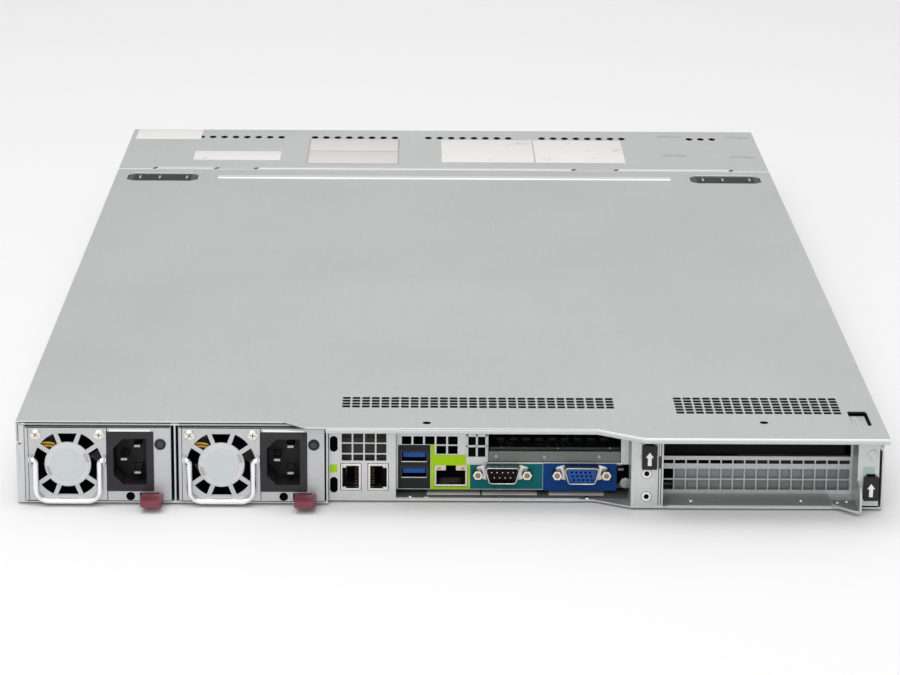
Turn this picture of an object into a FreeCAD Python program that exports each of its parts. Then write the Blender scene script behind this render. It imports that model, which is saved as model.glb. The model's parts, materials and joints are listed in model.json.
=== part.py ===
import FreeCAD, Part
import math
import os

# One-unit rack server. Millimetres. The drive bays face -Y, the connectors face +Y, +Z is up.
# The origin is on the underside of the floor, midway between front and rear and between the sides.

# Overall box and sheet metal
chassis_width = 437.0
chassis_height = 43.0
chassis_depth = 737.0
steel = 1.0
cover_steel = 1.0
cover_flange = 11.0
fold_gap = 0.2
slide_gap = 0.3
shaft_gap = 0.05
round_sides = 16
duct_sides = 12
small_sides = 6
bend_chords = 3

# Rear edges, each measured forward from the rearmost lip of the cover
psu_setback = 25.0
io_setback = 30.0
io_lip_setback = 15.0
bay_setback = 19.5
shield_setback = 37.0
partition_setback = 41.0

# Top cover
seam_gap = 0.6
lip_height = 3.0
psu_notch_reach = 21.5
psu_notch_run = 11.5
bay_notch_reach = 17.8
bay_notch_run = 23.0
vent_pitch = 5.0
vent_size = 3.8
io_vent_columns = 28
io_vent_rows = 4
io_vent_inset = 53.4
io_vent_offset = 8.3
bay_vent_margin = 10.5
bay_vent_rows = 6
bay_vent_inset = 45.0
bay_vent_side = 21.2
window_length = 24.5
window_width = 9.6
window_side = 6.2
window_inset = 23.4
bead_gap = 13.5
bead_width = 8.0
bead_height = 0.8
bead_inset = 24.0
release_length = 46.0
release_width = 22.0
release_corner = 4.0
release_side = 31.5
release_inset = 24.0
release_rim = 2.0
release_depth = 3.0

# Fixed panel over the drive bays
panel_length = 129.0
top_hole_width = 4.4
top_hole_length = 9.0
top_hole_pitch = 8.0
top_hole_columns = ((2, 5), (0, 8), (0, 8), (0, 8), (0, 8))
top_hole_middle = 3.5
top_hole_inset = 25.0
hem_width = 4.0
hem_height = 0.6
hem_spans = ((0.707, 0.879), (-0.391, 0.570), (-0.876, -0.538))

# Side mounting holes
mount_hole_radius = 1.65
rail_hole_height = 16.0
rail_hole_pitch = 460.0

# Drive bays
bay_columns = 5
bay_rows = 2
control_width = 35.0
cage_inset = 16.0
bezel_side_gap = 1.26
bezel_depth = 9.0
bezel_setback = 5.0
bezel_wall = 2.0
rail_thickness = 2.0
rail_gap = 0.4
drive_margin = 3.1
drive_length = 100.0
drive_setback = 4.0
plug_gap = 0.5
catch_width = 15.2
lever_thickness = 4.0
lever_end_gap = 2.5
lever_slot_margin = 8.0
pivot_radius = 1.2
backplane_thickness = 2.0
plug_width = 42.0
plug_height = 5.0
plug_depth = 4.0
backplane_vent_width = 26.0
backplane_vent_height = 6.0
button_radius = 4.0
button_travel = 1.0
button_setback = 0.3
button_collar = 1.0
control_face = 3.0
control_board_depth = 60.0
control_edge = 4.0

# Cooling fans behind the drive bays
fan_count = 5
fan_wall_gap = 10.3
fan_cage_reach = 31.5
fan_depth = 28.0
fan_board_gap = 24.5
fan_holder = 1.5
fan_wall = 1.2
fan_hub_radius = 9.0
fan_hub_length = 18.0
fan_blade_count = 5
fan_blade_chord = 11.0
fan_blade_thickness = 1.2
fan_blade_angle = 38.0
fan_tip_gap = 0.8
fan_stator = 3.0
fan_strut_width = 2.5
shaft_radius = 1.5
shaft_length = 5.0

# Motherboard and what stands on it
board_thickness = 1.8
board_stand = 2.6
board_rear_gap = 4.5
board_length = 395.0
board_side_gap = 5.0
board_front_width = 312.0
boss_radius = 3.0
socket_size = 52.0
socket_height = 6.5
bank_space = 78.0
heatsink_length = 108.0
heatsink_base = 5.0
heatsink_fins = 12
fin_thickness = 0.8
cpu_spread = 6.0
cpu_shift = 4.4
module_length = 133.0
module_height = 30.0
module_thickness = 3.6
module_pitch = 8.0
modules_per_bank = 4
bank_gap = 4.0
module_slot_height = 7.0
shroud_wall = 1.2
shroud_air_gap = 1.6
shroud_lead = 28.0
shroud_bridge = 18.0

# Power supplies
psu_count = 2
psu_width = 73.5
psu_length = 210.0
psu_gap = 3.8
psu_wall_gap = 2.25
psu_proud = 1.5
psu_cage_gap = 0.75
face_steel = 1.0
psu_fan_offset = 15.2
psu_fan_bore = 18.6
grille_radius = 18.0
grille_half_height = 16.0
grille_hub_radius = 11.5
spoke_width = 2.0
spoke_angles = (20.0, 56.0, 125.0, 158.0, 202.0, 235.0, 304.0, 340.0)
psu_fan_depth = 26.0
psu_rotor_length = 15.0
psu_boss_radius = 6.0
psu_boss_length = 6.0
inlet_offset = -16.1
inlet_rise = 1.4
inlet_width = 23.7
inlet_height = 31.2
inlet_depth = 24.0
inlet_proud = 0.8
inlet_cavity_width = 16.6
inlet_cavity_height = 24.0
inlet_cavity_depth = 19.0
inlet_chamfer = 5.0
blade_width = 4.0
blade_thickness = 2.0
blade_length = 14.5
blade_rise = 7.0
blade_side = 3.4
lamp_offset = -31.4
lamp_radius = 2.5
lamp_height = 10.5
lamp_depth = 2.0
key_hole_radius = 2.2
key_hole_height = 2.6
key_hole_depth = 8.0
latch_offset = -27.2
latch_width = 10.8
latch_thickness = 3.4
latch_reach = 13.0
latch_travel = 3.0
latch_neck = 6.0
latch_depth = 10.0
latch_height = 0.8
handle_radius = 1.5
handle_sides = 6
handle_half_width = 16.1
handle_drop = 21.5
handle_corner = 4.5
handle_bend = 1.7
handle_stand = 2.0
handle_pivot_height = 2.6
ear_thickness = 1.0
ear_half_height = 2.6
edge_card_width = 50.0
edge_card_length = 8.0
edge_card_thickness = 1.6
power_board_thickness = 2.0
socket_block_depth = 9.5
socket_block_height = 9.0
socket_block_margin = 5.0

# Network bracket and jacks
lan_width = 34.0
lan_jack_width = 10.2
lan_jack_height = 14.1
lan_jack_depth = 20.0
lan_jack_offsets = (6.1, 19.9)
jack_wall = 1.1
jack_cavity_depth = 13.0
jack_notch = 1.6
jack_notch_length = 5.0
lan_vent_columns = 4
lan_vent_rows = ((21.2, 3.3), (25.2, 4.9), (30.8, 4.9))
lan_vent_width = 5.0
lan_vent_pitch = 5.85
lan_vent_offset = 6.6
finger_hole_width = 3.9
finger_hole_height = 8.2
finger_hole_corner = 1.2
finger_hole_offset = 0.6
finger_hole_heights = (4.2, 25.9)

# Connectors on the motherboard, offsets from the network bracket's inner edge
io_width = 118.4
usb_offset = 9.0
usb_width = 14.6
usb_height = 20.0
usb_depth = 18.0
usb_port_width = 12.6
usb_port_height = 5.0
usb_port_depth = 12.0
usb_port_heights = (7.6, 16.0)
usb_tongue_width = 11.0
usb_tongue_thickness = 1.8
usb_tongue_rise = 0.8
management_offset = 27.7
management_width = 17.0
management_height = 12.4
management_depth = 20.0
serial_offset = 53.9
screen_offset = 94.2
dsub_rise = 7.4
dsub_flange_width = 30.8
dsub_flange_height = 11.4
dsub_flange_thickness = 0.8
dsub_shell_width = 17.2
dsub_shell_height = 8.8
dsub_shell_taper = 1.6
dsub_shell_wall = 0.6
dsub_shell_length = 6.0
dsub_insert_length = 4.0
dsub_body_depth = 12.0
jack_screw_pitch = 25.0
jack_screw_radius = 2.8
jack_screw_length = 5.0
shield_steel = 0.6
shield_cut_gap = 0.3
shield_low = 3.9
shield_vent_width = 4.9
shield_vent_height = 4.3
shield_vent_pitch = 5.87
shield_vent_offset = 2.7
shield_vent_rows = ((27.8, 5), (22.8, 2))
shield_notch_width = 7.0
shield_notch_top = 17.6
slot_offset = 46.6
slot_width = 67.5
slot_low = 24.4
sill_height = 5.6
riser_depth = 90.0

# Expansion bay at the rear
corner_width = 10.8
bay_hole_margin = 1.0
post_width = 16.2
partition_height = 20.0
inner_sheet_setback = 3.0
inner_sheet_end = 6.8
bay_hole_size = 5.2
bay_hole_pitch = 6.0
bay_hole_low = 3.0
bay_slot_height = 1.9
bay_slot_low = 17.0
pull_tab_reach = 12.0
pull_tab_height = 14.0
pull_tab_radius = 6.0
pull_tab_foot_radius = 1.5
pull_foot_width = 12.0
pull_foot_length = 8.0
tab_width = 7.6
tab_height = 12.5
tab_thickness = 2.2
tab_stem_width = 4.0
tab_stem_height = 6.0
tab_travel = 4.0
tab_back_thickness = 1.2
tab_back_margin = 1.4
post_tab_low = 21.1
post_tab_shift = 0.9
corner_tab_low = 5.1

# Reference planes worked out from the sizes above
half_width = chassis_width / 2
y_front = -chassis_depth / 2
y_rear = chassis_depth / 2
y_psu = y_rear - psu_setback
y_io = y_rear - io_setback
y_io_lip = y_rear - io_lip_setback
y_bay = y_rear - bay_setback
y_shield = y_rear - shield_setback
y_partition = y_rear - partition_setback
y_seam = y_front + panel_length
cover_under = chassis_height - cover_steel
wall_top = cover_under - fold_gap
flange_low = chassis_height - cover_flange
joggle = cover_steel + fold_gap
x_wall_low = half_width - steel
x_wall_high = half_width - joggle - steel
board_bottom = steel + board_stand
board_top = board_bottom + board_thickness
psu_bottom = steel + slide_gap
psu_top = wall_top - steel - slide_gap
psu_mid = (psu_bottom + psu_top) / 2
y_psu_face = y_psu + psu_proud
psu_pitch = psu_width + psu_gap
first_psu_x = x_wall_high - psu_wall_gap - psu_width / 2
x_cage = first_psu_x - psu_pitch * (psu_count - 1) - psu_width / 2 - psu_cage_gap
x_lan = x_cage - steel - fold_gap
x_io = x_lan - lan_width - fold_gap
x_corner = -x_wall_high + corner_width
x_post = x_io - io_width
x_bay_end = x_post - post_width
bay_width = x_bay_end - x_corner
y_power_board = y_psu_face - psu_length - socket_block_depth - slide_gap
fan_size = wall_top - steel - fold_gap
fan_mid = steel + fan_size / 2
fan_bore = fan_size / 2 - fan_wall
y_board_rear = y_shield - board_rear_gap
y_board_bay = y_partition - inner_sheet_setback - 2 * steel
y_board_front = y_board_rear - board_length
y_fan = y_board_front - fan_board_gap - fan_depth
fan_left = -x_wall_high + fan_wall_gap
fan_pitch = (x_cage + fan_cage_reach - fan_left) / fan_count
x_board = -x_wall_low + board_side_gap
y_notch = y_power_board - power_board_thickness
y_cpu = (y_board_front + y_notch) / 2 + cpu_shift
heatsink_width = board_front_width / 2 - bank_space
cpu_pitch = board_front_width / 2 - cpu_spread
cpu_x = (x_board + board_front_width / 2 - cpu_pitch / 2, x_board + board_front_width / 2 + cpu_pitch / 2)
column_pitch = (2 * x_wall_high - control_width) / bay_columns
bezel_width = column_pitch - steel - 2 * bezel_side_gap
drive_width = bezel_width - 2 * drive_margin
lever_length = bezel_width - lever_end_gap - slide_gap - catch_width
shelf_low = (steel + wall_top - steel) / 2
row_height = shelf_low - steel
bezel_height = row_height - 2 * slide_gap
y_bezel = y_front + bezel_setback
y_drive = y_bezel + bezel_depth + drive_setback
y_tail = y_drive + drive_length
y_backplane = y_tail + plug_gap + plug_depth
y_lever = y_bezel - lever_thickness / 2 - slide_gap
inlet_mid = psu_mid + inlet_rise
lever_height = bezel_height - 2 * bezel_wall - 2 * slide_gap


def box(x0, x1, y0, y1, z0, z1):
    """Block between two corners."""
    return Part.makeBox(x1 - x0, y1 - y0, z1 - z0, FreeCAD.Vector(x0, y0, z0))


def prism(points, along):
    """Solid from a closed outline of 3-D points, pushed along a vector."""
    outline = [FreeCAD.Vector(*p) for p in points]
    wire = Part.makePolygon(outline + outline[:1])
    return Part.Face(wire).extrude(FreeCAD.Vector(*along))


def prism_z(points, z0, z1):
    """Plan outline of (x, y) points pushed up from z0 to z1."""
    return prism([(x, y, z0) for x, y in points], (0, 0, z1 - z0))


def prism_y(points, y0, y1):
    """End outline of (x, z) points pushed back from y0 to y1."""
    return prism([(x, y0, z) for x, z in points], (0, y1 - y0, 0))


def prism_x(points, x0, x1):
    """Side outline of (y, z) points pushed across from x0 to x1."""
    return prism([(x0, y, z) for y, z in points], (x1 - x0, 0, 0))


def rod(centre, radius, length, axis):
    """Cylinder from a centre point along an axis vector."""
    return Part.makeCylinder(radius, length, FreeCAD.Vector(*centre), FreeCAD.Vector(*axis))


def facet_rod(centre, radius, length, axis, sides, clears=False):
    """Many-sided rod along an axis; one that clears has its flats on the radius, otherwise its corners."""
    reach = radius / math.cos(math.pi / sides) if clears else radius
    points = []
    for index in range(sides):
        turn = 2 * math.pi * (index + 0.5) / sides
        flat = [reach * math.cos(turn), reach * math.sin(turn)]
        points.append([c if a else c + flat.pop() for c, a in zip(centre, axis)])
    return prism(points, [length * a for a in axis])


def join(shapes):
    """One solid from touching or overlapping shapes."""
    return shapes[0].multiFuse(shapes[1:]).removeSplitter()


def group(shapes):
    """Separate solids kept side by side."""
    return Part.makeCompound(shapes)


def mirrored(points):
    """Outline of (x, z) points from the middle to the right, closed by its mirror image."""
    return points + [(-x, z) for x, z in reversed(points)]


def folded_strip(path, thickness, z0, z1):
    """Sheet standing on a plan path of (x, y) points, with its thickness on the path's right side."""
    normals = []
    for (x0, y0), (x1, y1) in zip(path, path[1:]):
        run = math.hypot(x1 - x0, y1 - y0)
        normals.append(((y1 - y0) / run, (x0 - x1) / run))
    inner = [tuple(p + thickness * n for p, n in zip(path[0], normals[0]))]
    for point, before, after in zip(path[1:], normals, normals[1:]):
        mitre = 1 + before[0] * after[0] + before[1] * after[1]
        inner.append(tuple(p + thickness * (b + a) / mitre for p, b, a in zip(point, before, after)))
    inner.append(tuple(p + thickness * n for p, n in zip(path[-1], normals[-1])))
    return prism_z(path + inner[::-1], z0, z1)


def lozenge(x, y, length, width, corner, z0, z1):
    """Plate with its four corners cut off."""
    a = length / 2
    b = width / 2
    quarter = [(a, b - corner), (a - corner, b)]
    outline = quarter + [(-p, q) for p, q in reversed(quarter)]
    outline += [(-p, -q) for p, q in quarter] + [(p, -q) for p, q in reversed(quarter)]
    return prism_z([(x + p, y + q) for p, q in outline], z0, z1)


def psu_x(index):
    """Middle of a power supply."""
    return first_psu_x - psu_pitch * index


def column_x(column):
    """Middle of a column of drive bays."""
    return -x_wall_high + column_pitch * (column + 0.5)


def row_low(row):
    """Underside of a row of drive carriers."""
    return (steel, shelf_low + steel)[row] + slide_gap


def rear_floor_cut(z0, z1):
    """Space behind the stepped rear edge of the floor."""
    beyond = half_width + steel
    outline = [
        (beyond, y_psu),
        (x_cage - steel, y_psu),
        (x_cage - steel, y_io),
        (x_post + bay_notch_reach, y_io),
        (x_post, y_bay),
        (-beyond, y_bay),
        (-beyond, y_rear + steel),
        (beyond, y_rear + steel),
    ]
    return prism_z(outline, z0, z1)


def chassis_tray():
    """Folded tray: floor, joggled side walls, rear return by the power supplies, board bosses, side holes."""
    joggle_top = flange_low - slide_gap
    joggle_low = joggle_top - joggle
    section = mirrored([
        (half_width, 0),
        (half_width, joggle_low),
        (half_width - joggle, joggle_top),
        (half_width - joggle, wall_top),
        (x_wall_high, wall_top),
        (x_wall_high, joggle_top),
        (x_wall_low, joggle_low),
        (x_wall_low, steel),
    ])
    tray = prism_y(section, y_front, y_rear)
    tray = tray.cut(rear_floor_cut(-steel, chassis_height))
    return_edge = x_wall_high - psu_wall_gap + slide_gap
    return_top = wall_top - steel - fold_gap
    additions = [tray, box(return_edge, x_wall_high, y_psu - steel, y_psu, steel, return_top)]
    additions.append(box(x_wall_high, x_wall_low, y_psu - steel, y_psu, steel, joggle_low))
    for x, y in boss_places():
        additions.append(facet_rod((x, y, steel), boss_radius, board_stand, (0, 0, 1), small_sides))
    holes = []
    for y, z in side_hole_places():
        start = (-half_width - steel, y, z)
        holes.append(rod(start, mount_hole_radius, chassis_width + 2 * steel, (1, 0, 0)))
    return join(additions).cut(group(holes))


def boss_places():
    """Supports under the motherboard's corners and middle."""
    edge = 2 * boss_radius
    right = x_cage - steel - edge
    ys = [y_board_front + edge, (y_board_front + y_board_rear) / 2, y_board_rear - edge]
    return [(x, y) for x in (x_board + edge, (x_board + right) / 2, right) for y in ys]


def side_hole_places():
    """Tapped holes in each side wall for slide rails."""
    return [(side * rail_hole_pitch / 2, rail_hole_height) for side in (-1, 1)]


def lid(y0, y1):
    """Flat lid with a flange folded down each side."""
    inner = half_width - cover_steel
    section = mirrored([
        (half_width, flange_low),
        (half_width, chassis_height),
    ])
    outside = prism_y(section, y0, y1)
    return outside.cut(box(-inner, inner, y0 - steel, y1 + steel, flange_low - steel, cover_under))


def front_top_panel():
    """Fixed lid over the drive bays, with cooling holes along the front and raised hems at the seam."""
    panel = lid(y_front, y_seam - seam_gap / 2)
    back = y_seam - seam_gap / 2
    hems = []
    for span in hem_spans:
        x0, x1 = (half_width * share for share in span)
        hems.append(box(x0, x1, back - hem_width, back, cover_under, chassis_height + hem_height))
    holes = []
    for column, (first, end) in enumerate(top_hole_columns):
        for index in range(first, end):
            x = column_x(column) + top_hole_pitch * (index - top_hole_middle)
            y = y_front + top_hole_inset
            half = top_hole_width / 2
            tip = top_hole_length / 2
            outline = [(x, y - tip), (x + half, y + half - tip), (x + half, y - half + tip)]
            outline += [(x, y + tip), (x - half, y - half + tip), (x - half, y + half - tip)]
            holes.append(prism_z(outline, cover_under - steel, chassis_height + steel))
    return join([panel] + hems).cut(group(holes))


def release_places():
    """Middles of the two release buttons of the cover."""
    y = y_seam + release_inset
    return [(s * (half_width - release_side), y) for s in (-1, 1)]


def top_cover():
    """Removable lid: stepped rear edge with a lip, two fields of vents, a stiffening bead and a window."""
    cover = lid(y_seam + seam_gap / 2, y_rear)
    beyond = half_width + steel
    x_step = x_cage + psu_notch_reach
    lip_path = [
        (x_cage, y_io_lip),
        (x_post + bay_notch_reach, y_io_lip),
        (x_post + bay_notch_reach - bay_notch_run, y_rear),
        (-half_width, y_rear),
    ]
    waste = [(beyond, y_psu), (x_step, y_psu), (x_step - psu_notch_run, y_io_lip)]
    waste += lip_path[1:3] + [(lip_path[2][0], y_rear + steel), (beyond, y_rear + steel)]
    cover = cover.cut(prism_z(waste, 0, chassis_height + steel))
    lip = folded_strip(lip_path, -cover_steel, chassis_height - lip_height, chassis_height)
    y_bead = y_seam + bead_inset
    rise = bead_height
    bead_section = [
        (y_bead - bead_width / 2, cover_under),
        (y_bead - bead_width / 2, chassis_height),
        (y_bead - bead_width / 2 + rise, chassis_height + rise),
        (y_bead + bead_width / 2 - rise, chassis_height + rise),
        (y_bead + bead_width / 2, chassis_height),
        (y_bead + bead_width / 2, cover_under),
    ]
    bead_end = half_width - release_side - release_length / 2 - bead_gap
    bead = prism_x(bead_section, -bead_end, bead_end)
    cuts = []
    x_window = -half_width + window_side
    y_window = y_rear - window_inset
    x_far = x_window + window_width
    cuts.append(box(x_window, x_far, y_window - window_length, y_window, 0, chassis_height + steel))
    flange_end = -half_width + cover_steel
    lip_low = chassis_height - lip_height
    cuts.append(box(-beyond, flange_end, y_bay, y_rear + steel, flange_low - steel, lip_low))
    for x, y in release_places():
        size = (release_length + 2 * slide_gap, release_width + 2 * slide_gap)
        cuts.append(lozenge(x, y, size[0], size[1], release_corner, 0, chassis_height + steel))
    cuts += vent_field(io_vent_left(), io_vent_inset, io_vent_columns, io_vent_rows)
    columns = int((bay_width - bay_vent_margin) / vent_pitch)
    cuts += vent_field(-half_width + bay_vent_side, bay_vent_inset, columns, bay_vent_rows)
    return join([cover, lip, bead]).cut(group(cuts))


def io_vent_left():
    """Lowest column of the vents over the connectors, so that the field ends beside the power supplies."""
    return x_lan - io_vent_offset - vent_pitch * (io_vent_columns - 1)


def vent_field(x_low, inset, columns, rows):
    """Square holes in a grid, counted forward from a distance to the rear lip."""
    half = vent_size / 2
    holes = []
    for i in range(columns):
        for j in range(rows):
            x = x_low + vent_pitch * i
            y = y_rear - inset - vent_pitch * j
            z = cover_under - steel
            holes.append(box(x - half, x + half, y - half, y + half, z, chassis_height + steel))
    return holes


def cover_release(x, y):
    """Push button set in the cover, with a rim below that keeps it from falling out."""
    top = chassis_height - cover_steel / 2
    low = cover_under - release_depth
    rim_top = cover_under - fold_gap
    pad = lozenge(x, y, release_length, release_width, release_corner, low, top)
    rim = 2 * release_rim
    return join([pad, lozenge(x, y, release_length + rim, release_width + rim, release_corner, low, rim_top)])


def drive_cage():
    """Upright partitions between the bay columns and a shelf between the rows."""
    y0 = y_front + cage_inset
    y1 = y_backplane - fold_gap
    right = -x_wall_high + column_pitch * bay_columns
    sheets = []
    for index in range(bay_columns + 1):
        x = -x_wall_high + column_pitch * index
        left_edge = x if index == 0 else x - steel / 2
        sheets.append(box(left_edge, left_edge + steel, y0, y1, steel, wall_top))
    sheets.append(box(-x_wall_high, right, y0, y1, shelf_low, shelf_low + steel))
    return join(sheets)


def drive_backplane():
    """Upright circuit board across the back of the bays, with a plug for each drive and air slots."""
    right = -x_wall_high + column_pitch * bay_columns
    board = box(-x_wall_high, right, y_backplane, y_backplane + backplane_thickness, steel, wall_top)
    plugs = []
    slots = []
    for column in range(bay_columns):
        for row in range(bay_rows):
            x = column_x(column)
            z = row_low(row) + bezel_height / 2
            plugs.append(box(x - plug_width / 2, x + plug_width / 2, y_backplane - plug_depth, y_backplane,
                             z - plug_height, z))
        x = column_x(column)
        slot = (x - backplane_vent_width / 2, x + backplane_vent_width / 2)
        z = shelf_low + steel / 2
        slots.append(box(slot[0], slot[1], y_backplane - steel, y_backplane + backplane_thickness + steel,
                         z - backplane_vent_height / 2, z + backplane_vent_height / 2))
    return join([board] + plugs).cut(group(slots))


def drive_carrier(column, row):
    """Hot-swap tray: bezel with lever lugs, two side rails and the drive between them."""
    x = column_x(column)
    low = row_low(row)
    high = low + bezel_height
    left = x - bezel_width / 2
    right = x + bezel_width / 2
    y_back = y_bezel + bezel_depth
    frame = box(left, right, y_bezel, y_back, low, high)
    slot_low = lever_pivot_x(x) + lever_thickness + lever_slot_margin
    slot_high = lever_pivot_x(x) + lever_length - lever_thickness / 2 - lever_slot_margin
    rim = 2 * bezel_wall
    frame = frame.cut(box(slot_low, slot_high, y_bezel - steel, y_back + steel, low + rim, high - rim))
    pieces = [frame]
    lug_end = left + 2 * lever_thickness
    for z in (low, high - bezel_wall):
        pieces.append(box(left, lug_end, y_front, y_bezel, z, z + bezel_wall))
    catch = right - catch_width
    pieces.append(box(catch, right, y_front, y_bezel, low + bezel_wall, high - bezel_wall))
    rail_inner = drive_width / 2 + rail_gap
    for side in (-1, 1):
        edges = sorted((side * rail_inner, side * (rail_inner + rail_thickness)))
        pieces.append(box(x + edges[0], x + edges[1], y_back, y_tail, low + bezel_wall, high - bezel_wall))
    frame = join(pieces)
    foot = (lever_pivot_x(x), y_lever, low - steel)
    pivot = facet_rod(foot, pivot_radius + shaft_gap, bezel_height + 2 * steel, (0, 0, 1), small_sides, True)
    half = drive_width / 2
    drive = box(x - half, x + half, y_drive, y_tail, low + bezel_wall, high - bezel_wall)
    return group([frame.cut(pivot), drive])


def lever_pivot_x(x):
    """Pivot line of a carrier's lever, near the carrier's left edge."""
    return x - bezel_width / 2 + lever_end_gap + lever_thickness / 2


def drive_lever(column, row):
    """Release lever with an air slot, a round pivoting end and its pin."""
    x = lever_pivot_x(column_x(column))
    low = row_low(row) + bezel_wall + slide_gap
    high = low + lever_height
    half = lever_thickness / 2
    end = x + lever_length - lever_thickness / 2
    arm = box(x, end, y_lever - half, y_lever + half, low, high)
    eye = facet_rod((x, y_lever, low), half, lever_height, (0, 0, 1), small_sides)
    foot = (x, y_lever, low - bezel_wall)
    pin = facet_rod(foot, pivot_radius, lever_height + 2 * bezel_wall, (0, 0, 1), small_sides)
    slot_low = x + lever_thickness + lever_slot_margin
    slot_high = end - lever_slot_margin
    slot = box(slot_low, slot_high, y_lever - lever_thickness, y_lever + lever_thickness,
               low + bezel_wall, high - bezel_wall)
    return join([arm, eye, pin]).cut(slot)


def button_place():
    """Middle of the power button on the control panel."""
    left = -x_wall_high + column_pitch * bay_columns + steel
    return (left + x_wall_high) / 2, (2 * steel + 3 * wall_top) / 5


def control_panel():
    """Front panel beside the bays with a hole for the power button and a circuit board behind."""
    left = -x_wall_high + column_pitch * bay_columns + steel
    x, z = button_place()
    face = box(left, x_wall_high - fold_gap, y_front, y_front + control_face, steel, wall_top)
    start = (x, y_front - steel, z)
    hole = facet_rod(start, button_radius + slide_gap, control_face + 2 * steel, (0, 1, 0), round_sides, True)
    y0 = y_front + control_face + 2 * button_travel + control_edge
    web = box(left, left + steel, y_front, y0 + control_board_depth, steel, wall_top)
    right = x_wall_high - control_edge
    board = box(left, right, y0, y0 + control_board_depth, control_edge, control_edge + steel)
    return join([face.cut(hole), web, board])


def power_button():
    """Round push button with a collar behind the panel."""
    x, z = button_place()
    y0 = y_front + button_setback
    collar_y = y_front + control_face + slide_gap
    stem = facet_rod((x, y0, z), button_radius, collar_y - y0, (0, 1, 0), round_sides)
    collar = facet_rod((x, collar_y, z), button_radius + button_collar, button_collar, (0, 1, 0), small_sides)
    return join([stem, collar])


def fan_x(index):
    """Middle of a cooling fan."""
    return fan_left + fan_pitch * (index + 0.5)


def rotor(x, z, y_face, length, tip_radius):
    """Fan rotor facing -Y to +Y: hub, flat pitched blades and a shaft that runs forward."""
    pieces = [facet_rod((x, y_face - length, z), fan_hub_radius, length, (0, 1, 0), 2 * fan_blade_count)]
    tip = (x, y_face - length - shaft_length, z)
    pieces.append(facet_rod(tip, shaft_radius, shaft_length, (0, 1, 0), small_sides))
    reach = math.sqrt(tip_radius ** 2 - (fan_blade_chord / 2) ** 2)
    middle = y_face - length / 2
    for index in range(fan_blade_count):
        chord = fan_blade_chord / 2
        skin = fan_blade_thickness / 2
        blade = box(fan_hub_radius / 2, reach, -chord, chord, -skin, skin)
        blade.rotate(FreeCAD.Vector(0, 0, 0), FreeCAD.Vector(1, 0, 0), 90 - fan_blade_angle)
        blade.rotate(FreeCAD.Vector(0, 0, 0), FreeCAD.Vector(0, 1, 0), 360 * index / fan_blade_count)
        blade.translate(FreeCAD.Vector(x, middle, z))
        pieces.append(blade)
    return join(pieces)


def fan_frames():
    """Square fan bodies, each with a round duct, a bearing on a bar across it and a holder plate."""
    half = fan_size / 2
    frames = []
    for index in range(fan_count):
        x = fan_x(index)
        body = box(x - half, x + half, y_fan, y_fan + fan_depth, steel, steel + fan_size)
        holder_half = fan_pitch / 2 - fold_gap
        holder = box(x - holder_half, x + holder_half, y_fan, y_fan + fan_holder, steel, steel + fan_size)
        start = (x, y_fan - steel, fan_mid)
        duct = facet_rod(start, fan_bore, fan_depth + 2 * steel, (0, 1, 0), duct_sides, True)
        ring = join([body, holder]).cut(duct)
        bar = [facet_rod((x, y_fan, fan_mid), fan_hub_radius, fan_stator, (0, 1, 0), small_sides)]
        reach = fan_bore + fan_wall / 2
        width = fan_strut_width / 2
        bar.append(box(x - reach, x + reach, y_fan, y_fan + fan_stator, fan_mid - width, fan_mid + width))
        bearing = facet_rod(start, shaft_radius + shaft_gap, fan_depth, (0, 1, 0), small_sides, True)
        frames.append(join([ring] + bar).cut(bearing))
    return group(frames)


def fan_rotor(index):
    """Rotor of one cooling fan, its shaft in the stator's bearing."""
    face = y_fan + fan_stator + slide_gap + fan_hub_length
    return rotor(fan_x(index), fan_mid, face, fan_hub_length, fan_bore - fan_tip_gap)


def motherboard():
    """Notched main board with processor sockets and memory slots."""
    right = x_cage - steel - fold_gap
    outline = [
        (x_board, y_board_front),
        (x_board + board_front_width, y_board_front),
        (x_board + board_front_width, y_notch),
        (right, y_notch),
        (right, y_board_rear),
        (x_bay_end + 2 * steel, y_board_rear),
        (x_bay_end + 2 * steel, y_board_bay),
        (x_board, y_board_bay),
    ]
    pieces = [prism_z(outline, board_bottom, board_top)]
    half = socket_size / 2
    for x in cpu_x:
        top = board_top + socket_height
        pieces.append(box(x - half, x + half, y_cpu - half, y_cpu + half, board_top, top))
    grooves = []
    for x in module_places():
        top = board_top + module_slot_height
        slot = module_thickness + fold_gap
        end = module_length / 2 + slot
        pieces.append(box(x - slot, x + slot, y_cpu - end, y_cpu + end, board_top, top))
        grooves.append(module_block(x, top))
    return join(pieces).cut(group(grooves))


def module_places():
    """Memory module positions, a bank on each side of each processor."""
    first = heatsink_width / 2 + shroud_wall + shroud_air_gap + bank_gap
    places = []
    for x in cpu_x:
        for index in range(modules_per_bank):
            reach = first + module_pitch * index
            places += [x - reach, x + reach]
    return places


def module_block(x, top):
    """Block of one memory module, from half way down its slot."""
    side = module_thickness / 2
    end = module_length / 2
    low = board_top + module_slot_height / 2
    return box(x - side, x + side, y_cpu - end, y_cpu + end, low, top)


def memory_modules():
    """Memory modules standing in their slots."""
    top = board_top + module_slot_height / 2 + module_height
    return group([module_block(x, top) for x in module_places()])


def heatsink_top():
    """Top of the fins, just under the air shroud."""
    return wall_top - fold_gap - shroud_wall - shroud_air_gap


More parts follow.
